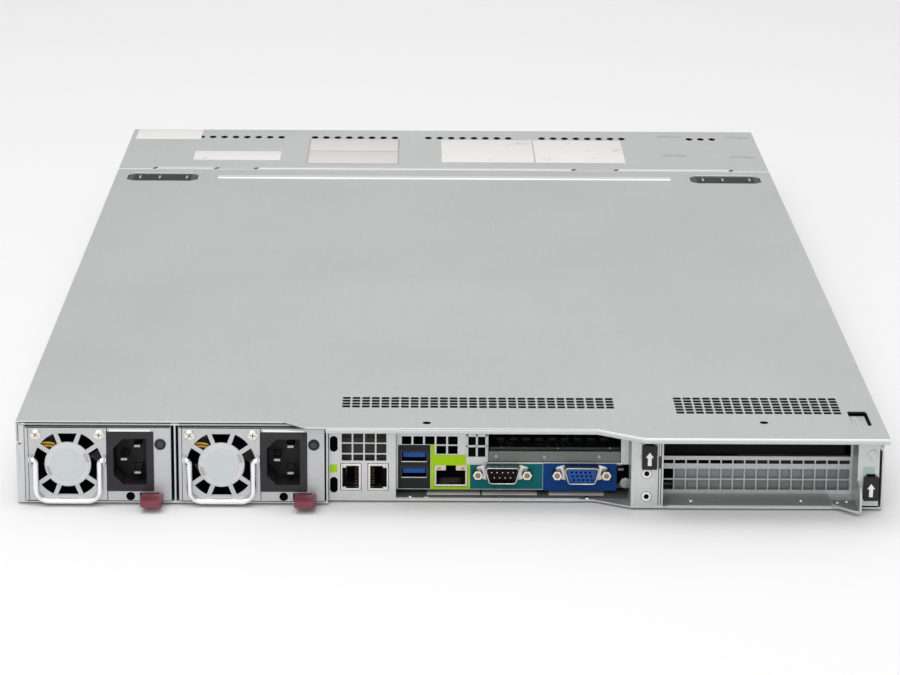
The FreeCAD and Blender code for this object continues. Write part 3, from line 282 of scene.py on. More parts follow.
@dataclass(frozen=True)
class Finish:
    """A surface; each kind of surface says how it is painted."""

    name: str
    slot: Slot
    colour: Colour
    roughness: float = 0.5

    def material(self) -> bpy.types.Material:
        """The material, made the first time it is asked for.

        Returns:
            The material of this finish.
        """
        found = bpy.data.materials.get(self.name)
        if found:
            return found
        graph = Graph(self.name)
        self.paint(graph)
        return graph.material

    def shade(self, amount: float) -> Colour:
        """The finish's colour, made lighter or darker."""
        return tuple(min(1.0, c * amount) for c in self.colour)

    def rough(self, graph: Graph, value: Signal, less: float, more: float, ends: Flat = (0.3, 0.7)) -> None:
        """Lets the roughness follow a signal.

        Args:
            graph: the material's graph.
            value: the signal.
            less: how far the roughness falls at the low end.
            more: how far it rises at the high end.
            ends: the signal's low and high end.
        """
        graph.set(Roughness=graph.ranged(value, *ends, self.roughness - less, self.roughness + more))

    def paint(self, graph: Graph) -> None:
        """Fills the graph; each kind of finish has its own."""
        raise NotImplementedError


@dataclass(frozen=True)
class SheetSteel(Finish):
    """Zinc-coated sheet; a lid also has a painted highlight on its raised bead and hems, a painted highlight
    on its rear bend and painted shade on the walls of its holes.
    """

    metallic: float = 0.6
    grain: Point = (1.0, 0.06, 1.0)
    scratches: float = 0.5
    # Painted light on a lid: what stands above the raised height takes the bright colour as a painted
    # highlight, rear-facing faces just under the bend height take a painted highlight except in one rear
    # corner, and hole walls in the punched band take painted shade.
    raised: float = 0.0
    bend: float = 0.0
    punched: Flat = (0.0, 0.0)
    bright: Colour = (0.66, 0.66, 0.65)
    highlight_free_corner: Flat = (76.0, 300.0)
    bend_depth: float = 1.2
    flange: float = 212.0

    def paint(self, graph: Graph) -> None:
        """Adds rolling grain, faint spangle, rubbed patches and hair scratches.

        Args:
            graph: the material's graph.
        """
        rolled = graph.noise(900.0, 3.0, self.grain)
        spangle = graph.cells(420.0)
        patches = graph.noise(9.0, 4.0)
        tone = rolled * 0.35 + spangle * 0.2 + patches * 0.45
        colour = graph.blend(graph.ranged(tone, 0.25, 0.6), self.shade(0.93), self.shade(1.06))
        hair = graph.noise(140.0, 1.0, (1.0, 0.02, 1.0))
        line = graph.ranged(abs(hair - 0.5), 0.0, 0.004, 1.0, 0.0) * graph.ranged(patches, 0.5, 0.62)
        colour = graph.blend(line * self.scratches, colour, self.shade(1.25))
        # A lid also gets its painted highlights and painted shade.
        if self.raised:
            colour = self._lid(graph, colour)
        graph.set(Base_Color=colour, Metallic=self.metallic)
        self.rough(graph, tone, 0.07, 0.07, (0.2, 0.65))
        graph.bump(rolled * 0.6 + spangle * 0.4, 0.00002, 0.5)

    def _lid(self, graph: Graph, colour: Signal) -> Signal:
        """Paints the highlights and the shade that are particular to a lid.

        Args:
            graph: the material's graph.
            colour: the sheet's colour.

        Returns:
            The colour with painted highlights on the bead, hems and bend, and painted shade in the holes.
        """
        x, y, height = graph.parts()
        # Painted highlight on the raised bead and hems.
        colour = graph.blend(height > self.raised, colour, self.bright)
        # Painted highlight on rear-facing faces just under the bend, left off in one rear corner.
        dull = (x > self.highlight_free_corner[0]) * (y > self.highlight_free_corner[1])
        rearward = (graph.facing(Axis.Y) > 0.4) * (1 - dull)
        bend_highlight = rearward * graph.ranged(height, self.bend - self.bend_depth, self.bend, 0.15, 1.0)
        colour = graph.blend(bend_highlight, colour, self.shade(1.8))
        # Painted shade on the walls of the holes in the punched band.
        inside = (y > self.punched[0]) * (y < self.punched[1]) * (abs(x) < self.flange)
        return graph.blend((graph.facing(Axis.Z) < 0.8) * inside, colour, self.shade(0.08))


@dataclass(frozen=True)
class Moulding(Finish):
    """Moulded plastic with a fine eroded grain and slightly dusty patches."""

    grain: float = 2600.0
    depth: float = 0.00003
    dust: float = 0.12
    gloss: float = 0.3

    def paint(self, graph: Graph) -> None:
        """Adds the grain as relief and the dust as a paler cloud.

        Args:
            graph: the material's graph.
        """
        pits = graph.node("ShaderNodeTexVoronoi", {"feature": "SMOOTH_F1"},
                          {"Vector": graph.place(), "Scale": self.grain, "Smoothness": 0.6})
        cloud = graph.noise(35.0, 5.0)
        pale = tuple(c * 0.8 + 0.05 for c in self.colour)
        colour = graph.blend(graph.ranged(cloud, 0.45, 0.75) * self.dust, self.colour, pale)
        graph.set(Base_Color=colour, Specular_IOR_Level=self.gloss)
        self.rough(graph, cloud, 0.06, 0.08)
        graph.bump(pits, self.depth, 0.6)


@dataclass(frozen=True)
class BrightMetal(Finish):
    """Plated or bare bright metal with drawing lines and a slight haze."""

    lines: Point = (1.0, 1.0, 1.0)

    def paint(self, graph: Graph) -> None:
        """Adds haze to colour and roughness, and drawing lines as relief.

        Args:
            graph: the material's graph.
        """
        haze = graph.noise(120.0, 4.0)
        drawn = graph.noise(1800.0, 2.0, self.lines)
        graph.set(Base_Color=graph.blend(haze, self.shade(0.9), self.shade(1.06)), Metallic=1.0)
        self.rough(graph, haze, 0.3 * self.roughness, 0.4 * self.roughness)
        graph.bump(drawn, 0.000008, 0.5)


@dataclass(frozen=True)
class BoardLacquer(Finish):
    """Solder lacquer over copper traces; what stands above the board is dark moulded plastic."""

    top: float = 1000.0
    plastic: Colour = (0.02, 0.02, 0.022)
    pad: Colour = (0.55, 0.52, 0.42)
    pitch: float = 1.6

    def paint(self, graph: Graph) -> None:
        """Draws bundles of fine traces that run both ways and switches to plastic above the board.

        Args:
            graph: the material's graph.
        """
        x, y, z = graph.parts()
        wander = graph.noise(18.0, 1.0)
        along, across = (abs((c / self.pitch + wander * 6.0).fraction() - 0.5) < 0.16 for c in (x, y))
        turned = graph.noise(30.0, 0.0) > 0.5
        traces = turned * along + (1 - turned) * across
        lacquer = graph.blend(traces * 0.55, self.colour, self.shade(1.7))
        lacquer = graph.blend((graph.cells(330.0) < 0.16) * 0.8, lacquer, self.pad)
        graph.set(Base_Color=graph.blend(z > self.top, lacquer, self.plastic))
        self.rough(graph, wander, 0.05, 0.1)
        graph.bump(traces, 0.00003, 0.4)


@dataclass(frozen=True)
class Paper(Finish):
    """Bare adhesive label or print: fibres, and scuffs where it is worn."""

    scuffs: float = 0.35
    scuff_colour: Colour = (0.42, 0.40, 0.38)

    def paint(self, graph: Graph) -> None:
        """Adds fibres and scuffed patches.

        Args:
            graph: the material's graph.
        """
        fibre = graph.noise(1500.0, 3.0)
        stain = graph.noise(45.0, 5.0)
        colour = graph.blend(fibre, self.shade(0.95), self.shade(1.03))
        worn = graph.ranged(stain, 0.58, 0.66) * graph.ranged(graph.noise(400.0, 3.0), 0.45, 0.6)
        colour = graph.blend(worn * self.scuffs, colour, self.scuff_colour)
        graph.set(Base_Color=colour, Specular_IOR_Level=0.15)
        self.rough(graph, stain, 0.08, 0.08)
        graph.bump(fibre, 0.00002, 0.5)


@dataclass(frozen=True)
class Lens(Finish):
    """Small unlit lamp lens."""

    def paint(self, graph: Graph) -> None:
        """A glossy tinted dome with faint bubbles.

        Args:
            graph: the material's graph.
        """
        bubbles = graph.noise(900.0, 1.0)
        graph.set(Base_Color=graph.blend(bubbles, self.shade(0.8), self.shade(1.2)))
        self.rough(graph, bubbles, 0.0, 0.1)


DEEPWISE: Point = (1.0, 0.05, 1.0)
CROSSWISE: Point = (0.06, 1.0, 1.0)
UPRIGHT: Point = (1.0, 1.0, 0.1)
# The lid and the front panel take painted highlights on their bead, hems and rear bend, and painted shade on
# the walls of their holes.
COVER = SheetSteel("cover_grey_steel", Slot.COVER, (0.485, 0.495, 0.49), 0.46, 0.45, DEEPWISE, 0.45, 43.1,
                   42.6, (290.0, 330.0))
PANEL = SheetSteel("front_panel_grey_steel", Slot.COVER, (0.515, 0.525, 0.52), 0.46, 0.45, DEEPWISE, 0.4,
                   43.1, 42.6, (-366.0, -330.0))
# A darker copy of the front panel's steel, as painted shade on the embossed rings.
SHADED_EMBOSS = SheetSteel("panel_emboss_shaded_steel", Slot.COVER, (0.41, 0.42, 0.415), 0.5, 0.45, DEEPWISE, 0.4)
# Blue-grey copy of the frame steel, darker as painted shade, behind the bay's partition.
BAY_SHEET_SHADED = SheetSteel("bay_blue_grey_shaded_sheet", Slot.TRAY, (0.29, 0.32, 0.325), 0.4, 0.4, UPRIGHT, 0.2)
# Darker copy of the zinc steel as painted shade on the sill under the card.
SILL_SHADED = SheetSteel("slot_sill_painted_shade_steel", Slot.TRAY, (0.17, 0.18, 0.165), 0.42, 0.5, CROSSWISE, 0.3)
# Darker copy of the floor steel as painted shade under the connectors.
PORT_FLOOR_SHADED = SheetSteel("port_floor_painted_shade_steel", Slot.TRAY, (0.22, 0.23, 0.23), 0.42, 0.5, CROSSWISE, 0.3)
# Darker copy of the floor steel as painted shade in the card bay.
BAY_FLOOR_SHADED = SheetSteel("bay_floor_painted_shade_steel", Slot.TRAY, (0.34, 0.35, 0.345), 0.42, 0.5, CROSSWISE, 0.3)
RIM = SheetSteel("floor_rim_bright_zinc", Slot.TRAY, (0.60, 0.61, 0.61), 0.36, 0.3, CROSSWISE, 0.2)
FOOT = SheetSteel("pull_foot_dull_steel", Slot.TRAY, (0.30, 0.31, 0.31), 0.4, 0.6, (1.0, 0.2, 1.0), 0.4)
TRAY = SheetSteel("tray_zinc_steel", Slot.TRAY, (0.60, 0.61, 0.61), 0.38, 0.7, (1.0, 0.06, 1.0), 0.3)
FRAME_STEEL = SheetSteel("rear_frame_zinc_steel", Slot.TRAY, (0.60, 0.61, 0.61), 0.36, 0.55, UPRIGHT, 0.2)
PSU_STEEL = SheetSteel("power_supply_steel", Slot.PSU, (0.51, 0.525, 0.535), 0.34, 0.6, (0.08, 1.0, 1.0), 0.2)
GUARD_STEEL = SheetSteel("fan_guard_steel", Slot.PSU, (0.51, 0.52, 0.53), 0.32, 0.55, (1.0, 1.0, 1.0), 0.1)
TIN = BrightMetal("connector_tin", Slot.CONNECTOR, (0.78, 0.77, 0.74), 0.26)
# Nickel of the port shells painted dark, as painted shade and a painted dark reflection.
SHADED_TIN = BrightMetal("port_painted_shade_tin", Slot.CONNECTOR, (0.10, 0.10, 0.105), 0.3)
SHELL_TIN = BrightMetal("socket_shell_nickel", Slot.CONNECTOR, (0.72, 0.71, 0.69), 0.2, (0.1, 1.0, 1.0))
CHROME = BrightMetal("handle_bright_wire", Slot.WIRE, (0.97, 0.97, 0.98), 0.3, UPRIGHT)
FIN = BrightMetal("fin_aluminium_sheet", Slot.FIN, (0.80, 0.81, 0.82), 0.32, DEEPWISE)
SCREW_CREAM = BrightMetal("screw_pale_zinc", Slot.CONNECTOR, (0.90, 0.86, 0.76), 0.34)
# Gold of the jack contacts, darkened as painted shade deep in the jacks.
SHADED_GOLD = BrightMetal("contact_gold_painted_shade", Slot.CONNECTOR, (0.09, 0.07, 0.05), 0.3)
BORE = BrightMetal("screw_bore_brass", Slot.CONNECTOR, (0.30, 0.23, 0.16), 0.3)
BLADE = BrightMetal("blade_nickel", Slot.CONNECTOR, (0.45, 0.45, 0.45), 0.26)
BLACK = Moulding("black_moulding", Slot.BLACK, (0.016, 0.016, 0.018), 0.5)
INLET_BLACK = Moulding("inlet_black_moulding", Slot.BLACK, (0.022, 0.020, 0.022), 0.42, 3200.0, 0.00002, 0.2)
# Dark moulding of the release buttons; also the painted shade in the notches along the seam.
RELEASE_DARK_AND_NOTCH_SHADE = Moulding("release_moulding_and_notch_shade", Slot.BLACK, (0.045, 0.047, 0.05), 0.48)
# Near-black painted shade, put into gaps, holes, mouths and slots and behind vents where only shade falls.
PAINTED_SHADE = Moulding("painted_shade_black_moulding", Slot.BLACK, (0.004, 0.004, 0.005), 0.8, 2600.0, 0.00001, 0.02, 0.02)
# Black plastic of the fan rotors, made darker and less glossy than plain black as painted shade; it also
# colours the tube of painted shade behind each supply's guard.
ROTOR_BLACK_AND_SHADE = Moulding("rotor_black_and_painted_shade", Slot.BLACK, (0.005, 0.005, 0.006), 0.6, 2600.0, 0.00001, 0.02,
                      0.04)
# Dark grey painted shade, seen through the bracket's vents and the bay's slots.
VENT_SHADE_GREY = Moulding("vent_painted_shade_grey", Slot.BLACK, (0.075, 0.073, 0.07), 0.5, 1800.0, 0.00002, 0.3, 0.1)
# Dark grey painted shade in the post's grooves and behind the bay's partition.
GROOVE_AND_BAY_SHADE = Moulding("bay_painted_shade_grey", Slot.BLACK, (0.045, 0.044, 0.045), 0.45, 1800.0, 0.00002, 0.3)
BEZEL = Moulding("bezel_charcoal_moulding", Slot.BEZEL, (0.05, 0.051, 0.055), 0.5)
BEZEL_LIGHT = Moulding("lever_grey_moulding", Slot.BEZEL, (0.15, 0.155, 0.165), 0.48)
SHROUD = Moulding("shroud_black_sheet", Slot.SHROUD, (0.035, 0.037, 0.04), 0.36, 1200.0)
MAROON = Moulding("latch_maroon_moulding", Slot.LATCH, (0.20, 0.045, 0.068), 0.42, 1800.0, 0.00002, 0.25)
BLUE_INSERT = Moulding("blue_insert_moulding", Slot.BLACK, (0.006, 0.075, 0.34), 0.4, 3000.0, 0.00001)
BLUE_TONGUE = Moulding("blue_tongue_moulding", Slot.BLACK, (0.004, 0.072, 0.33), 0.42, 3000.0, 0.00001)
BROWN_INSERT = Moulding("dark_brown_insert", Slot.BLACK, (0.016, 0.009, 0.007), 0.45, 3000.0, 0.00001, 0.05,
                        0.1)
CREAM_FACE = Moulding("jack_cream_face", Slot.CONNECTOR, (0.70, 0.66, 0.56), 0.38, 3000.0, 0.00001)
BOARD = BoardLacquer("board_green_lacquer", Slot.BOARD, (0.012, 0.085, 0.045), 0.35, 5.5)
PLAIN_BOARD = BoardLacquer("backplane_green_lacquer", Slot.BOARD, (0.012, 0.085, 0.045), 0.35)
DARK_BOARD = BoardLacquer("riser_dark_lacquer", Slot.BOARD, (0.008, 0.011, 0.010), 0.4)
MODULE = BoardLacquer("memory_green_lacquer", Slot.MODULE, (0.010, 0.075, 0.040), 0.35)
TICK_GREY = Paper("release_tick_print", Slot.BLACK, (0.42, 0.42, 0.42), 0.5, 0.1)
WHITE_PAPER = Paper("bare_white_label", Slot.COVER, (0.78, 0.77, 0.755), 0.55, 0.55)
GREY_PAPER = Paper("bare_grey_label", Slot.COVER, (0.66, 0.64, 0.62), 0.5, 0.5, (0.75, 0.55, 0.52))
HUB_DISC = Paper("fan_hub_disc_label", Slot.PSU, (0.56, 0.60, 0.60), 0.36, 0.1, (0.50, 0.54, 0.55))
HUB_RING = Paper("fan_hub_ring_label", Slot.PSU, (0.62, 0.62, 0.63), 0.36, 0.3, (0.45, 0.45, 0.46))
PALE_GREEN = Paper("corner_pale_green_film", Slot.TRAY, (0.42, 0.55, 0.48), 0.4, 0.1, (0.5, 0.6, 0.55))
# Grey print of a label frame and of the hub's patches; also the grey cross on each guard screw, as painted
# shade in its recess.
GREY_PRINT_AND_SHADE = Paper("grey_print_and_recess_shade", Slot.COVER, (0.42, 0.41, 0.41), 0.5)
BLACK_LABEL = Paper("black_label", Slot.BLACK, (0.020, 0.021, 0.024), 0.42, 0.1)
LIME_LABEL = Paper("lime_label", Slot.BLACK, (0.38, 0.66, 0.004), 0.5, 0.1, (0.30, 0.52, 0.02))
TEAL_LABEL = Paper("teal_label", Slot.BLACK, (0.001, 0.135, 0.15), 0.5, 0.1, (0.01, 0.20, 0.21))
BLUE_LABEL = Paper("blue_label", Slot.BLACK, (0.001, 0.046, 0.21), 0.5, 0.1, (0.01, 0.08, 0.28))
# White print of the arrows and other white marks; also white blocks beside the post's lock as painted
# highlights.
WHITE_PRINT_AND_HIGHLIGHT = Paper("white_print_and_painted_highlight", Slot.BLACK, (0.88, 0.88, 0.87), 0.5, 0.1)
LENS_DARK = Lens("lamp_dark_lens", Slot.BLACK, (0.03, 0.032, 0.036), 0.14)
LENS_AMBER = Lens("lamp_amber_lens", Slot.BLACK, (0.65, 0.28, 0.03), 0.2)
LENS_GREEN = Lens("lamp_green_lens", Slot.BLACK, (0.05, 0.32, 0.08), 0.2)
WIRE_YELLOW = Moulding("wire_yellow_sleeve", Slot.BLACK, (0.62, 0.34, 0.03), 0.4, 2000.0, 0.00001)
DRIVE_CASE = BrightMetal("drive_cast_case", Slot.FIN, (0.50, 0.51, 0.52), 0.38)


@dataclass(frozen=True)
class Box:
    """Lowest and highest corner of a CAD node, in millimetres."""

    low: Vector
    high: Vector

    @property
    def mid(self) -> Vector:
        """Middle of the box."""
        return (self.low + self.high) / 2

    def xs(self, inset: float = 0.0) -> Flat:
        """Its span along X, drawn in at both ends."""
        return self.low.x + inset, self.high.x - inset

    def zs(self, inset: float = 0.0) -> Flat:
        """Its span along Z, drawn in at both ends."""
        return self.low.z + inset, self.high.z - inset


@dataclass(frozen=True)
class Bit:
    """A small block, as spans counted from the spot where it goes, in millimetres."""

    xs: Flat
    ys: Flat
    zs: Flat
    edge: float = 0.0


class Stock:
    """Gathers the solids of one piece, in millimetres, before they become one mesh."""

    def __init__(self) -> None:
        """Starts an empty mesh."""
        self.mesh = bmesh.new()

    def face(self, corners: Sequence[Point]) -> None:
        """Adds one face with corners of its own."""
        self.mesh.faces.new([self.mesh.verts.new(corner) for corner in corners])

    def block(self, xs: Flat, ys: Flat, zs: Flat, edge: float = 0.0) -> "Stock":
        """Adds a block with rounded edges.

        Args:
            xs: its two ends along X, in any order.
            ys: its two ends along Y.
            zs: its two ends along Z.
            edge: width of the rounded edges.

        Returns:
            The stock itself, for the next solid.
        """
        (x0, x1), (y0, y1), (z0, z1) = sorted(xs), sorted(ys), sorted(zs)
        return self.prism([(x0, y0), (x1, y0), (x1, y1), (x0, y1)], Axis.Z, (z0, z1), edge)

    def bit(self, bit: Bit, spot: Point, side: int = 1) -> "Stock":
        """Adds a small block at a spot.

        Args:
            bit: the block.
            spot: where its spans are counted from.
            side: -1 turns it over, left to right.

        Returns:
            The stock itself.
        """
        x, y, z = spot
        xs = (x + side * bit.xs[0], x + side * bit.xs[1])
        return self.block(xs, moved(bit.ys, y), moved(bit.zs, z), bit.edge)

    def prism(self, outline: Sequence[Flat], axis: Axis, ends: Flat, edge: float = 0.0) -> "Stock":
        """Adds a flat outline pushed along an axis, with rounded edges.

        Args:
            outline: corners in the plane across the axis.
            axis: the push direction.
            ends: its two ends on the axis.
            edge: width of the rounded edges.

        Returns:
            The stock itself.
        """
        low, high = ([self.mesh.verts.new(axis.place(p, end)) for p in outline] for end in ends)
        faces = [self.mesh.faces.new(low), self.mesh.faces.new(high)]
        for corners in zip(low, low[1:] + low[:1], high[1:] + high[:1], high):
            faces.append(self.mesh.faces.new(corners))
        bmesh.ops.recalc_face_normals(self.mesh, faces=faces)
        if edge:
            edges = list({e for f in faces for e in f.edges})
            bmesh.ops.bevel(self.mesh, geom=edges, offset=edge, segments=2, profile=0.6, affect="EDGES",
                            clamp_overlap=True)
        return self

    def turned(self, centre: Point, axis: Axis, profile: Profile, sides: int, squash: float = 1.0) -> "Stock":
        """Adds a turned solid.

        Args:
            centre: point on its axis that the profile is counted from.
            axis: its axis.
            profile: (radius, distance along the axis) from end to end; a zero radius closes an end.
            sides: number of flats round it.
            squash: share that its second width keeps, for an oval.

        Returns:
            The stock itself.
        """
        middle = axis.across(centre)
        rings = []
        for radius, along in profile:
            ring = []
            for step in range(sides if radius else 1):
                turn = 2 * math.pi * step / sides
                spot = (middle[0] + radius * math.cos(turn), middle[1] + squash * radius * math.sin(turn))
                ring.append(self.mesh.verts.new(axis.place(spot, centre[axis.value] + along)))
            rings.append(ring)
        return self._skin(rings, sides, [])

    def tube(self, path: Sequence[Vector], radius: float, sides: int = 14) -> "Stock":
        """Adds a round tube with closed ends along a path that lies in one plane.

        Args:
            path: points along its middle.
            radius: outside radius.
            sides: number of flats round it.

        Returns:
            The stock itself.
        """
        rings = []
        normal = (path[1] - path[0]).cross(path[-1] - path[len(path) // 2]).normalized()
        for index, spot in enumerate(path):
            run = (path[min(index + 1, len(path) - 1)] - path[max(index - 1, 0)]).normalized()
            side = run.cross(normal)
            ring = []
            for step in range(sides):
                turn = 2 * math.pi * step / sides
                outward = side * math.cos(turn) + normal * math.sin(turn)
                ring.append(self.mesh.verts.new(spot + outward * radius))
            rings.append(ring)
        return self._skin(rings, sides, [self.mesh.faces.new(rings[0]), self.mesh.faces.new(rings[-1])])

    def _skin(self, rings: Sequence[Sequence[bmesh.types.BMVert]], sides: int, faces: list) -> "Stock":
        """Joins rings of corners with faces.

        Args:
            rings: corners, ring by ring; a ring of one corner is a tip.
            sides: number of faces round a ring.
            faces: end faces that are there already.

        Returns:
            The stock itself.
        """
        for first, second in zip(rings, rings[1:]):
            for step in range(sides):
                corners = [first[step % len(first)], first[(step + 1) % len(first)],
                           second[(step + 1) % len(second)], second[step % len(second)]]
                faces.append(self.mesh.faces.new(list(dict.fromkeys(corners))))
        bmesh.ops.recalc_face_normals(self.mesh, faces=faces)
        return self

    def piece(self, name: str, finish: Finish, body: str = CHASSIS) -> bpy.types.Object:
        """Turns the stock into a finished piece that rides on a body.

        Args:
            name: name of the piece.
            finish: its surface.
            body: the CAD body that carries it.

        Returns:
            The object.
        """
        bmesh.ops.scale(self.mesh, vec=(MM, MM, MM), verts=self.mesh.verts)
        data = bpy.data.meshes.new(name)
        self.mesh.to_mesh(data)
        self.mesh.free()
        data.materials.append(finish.material())
        piece = bpy.data.objects.new(name, data)
        bpy.context.scene.collection.objects.link(piece)
        for polygon in data.polygons:
            polygon.use_smooth = True
        data.set_sharp_from_angle(angle=math.radians(32))
        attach(piece, body)
        LOG.info("piece %s on %s", name, body)
        return piece


def slab(name: str, finish: Finish, xs: Flat, ys: Flat, zs: Flat, edge: float = 0.0,
         body: str = CHASSIS) -> None:
    """Makes a piece of one sheet or strip.

    Args:
        name: name of the piece.
        finish: its surface.
        xs: its two ends along X.
        ys: its two ends along Y.
        zs: its two ends along Z.
        edge: width of the rounded edges.
        body: the CAD body that carries it.
    """
    Stock().block(xs, ys, zs, edge).piece(name, finish, body)


def row(name: str, finish: Finish, bit: Bit, spots: Sequence[Point], body: str = CHASSIS) -> None:
    """Makes a piece of one small block, repeated at several spots.

    Args:
        name: name of the piece.
        finish: its surface.
        bit: the block.
        spots: where it goes.
        body: the CAD body that carries it.
    """
    stock = Stock()
    for spot in spots:
        stock.bit(bit, spot)
    stock.piece(name, finish, body)


def turnings(name: str, finish: Finish, profile: Profile, sides: int, spots: Sequence[Point],
             axis: Axis = Axis.Y, body: str = CHASSIS) -> None:
    """Makes a piece of one turned solid, repeated at several spots.

    Args:
        name: name of the piece.
        finish: its surface.
        profile: (radius, distance) pairs as Stock.turned takes them.
        sides: number of flats round each.
        spots: where they go.
        axis: their axis.
        body: the CAD body that carries them.
    """
    stock = Stock()
    for spot in spots:
        stock.turned(spot, axis, profile, sides)
    stock.piece(name, finish, body)


def node_box(node: str) -> Box:
    """Box of a CAD node, in millimetres."""
    low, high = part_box(node)
    return Box(Vector(low) / MM, Vector(high) / MM)


def joint_place(name: str) -> Vector:
    """Point on a hinge's axis, in millimetres."""
    joint = next(j for j in frame["joints"] if j["name"] == name)
    return Vector(joint["pos_m"]) / MM


def dress(node: str, finish: Finish, edge: float) -> None:
    """Gives a CAD node its finish and softens its edges.

    Args:
        node: name of the node.
        finish: its surface.
        edge: width of the softened edges, in millimetres; zero leaves them sharp.
    """
    piece = frame["nodes"][node]
    if not piece.material_slots:
        piece.data.materials.append(finish.material())
    for slot in piece.material_slots:
        slot.material = finish.material()
    if edge:
        weld = piece.modifiers.new("weld", "WELD")
        weld.merge_threshold = 0.00001
        bevel = piece.modifiers.new("soft_edges", "BEVEL")
        bevel.width = edge * MM
        bevel.segments = 2
        bevel.limit_method = "ANGLE"
        bevel.angle_limit = math.radians(40)
        bevel.harden_normals = True
    LOG.info("node %s", node)


def dress_each(*coats: tuple[str, Finish, float]) -> None:
    """Dresses several CAD nodes, each given as node, finish and edge."""
    for node, finish, edge in coats:
        dress(node, finish, edge)


def about(middle: float, half: float) -> Flat:
    """Span that reaches as far to both sides of a middle."""
    return middle - half, middle + half


def span(start: float, length: float) -> Flat:
    """Span of a length that begins at a start."""
    return start, start + length


def moved(flat: Flat, by: float) -> Flat:
    """Span moved along its axis."""
    return flat[0] + by, flat[1] + by


def steps(first: float, pitch: float, count: int) -> list[float]:
    """Evenly spaced values."""
    return [first + pitch * index for index in range(count)]


def arc(centre: Flat, radius: float, start: float, end: float, chords: int) -> list[Flat]:
    """Points on an arc, with angles in degrees.

    Args:
        centre: middle of the arc.
        radius: its radius.
        start: first angle.
        end: last angle.
        chords: number of straight runs.

    Returns:
        The points from start to end.
    """
    turns = [math.radians(start + (end - start) * index / chords) for index in range(chords + 1)]
    return [(centre[0] + radius * math.cos(turn), centre[1] + radius * math.sin(turn)) for turn in turns]


def mirrored(half: Sequence[Flat]) -> list[Flat]:
    """Right half of an outline, followed by its left half from the far end back."""
    return [*half, *((-p, q) for p, q in reversed(half))]


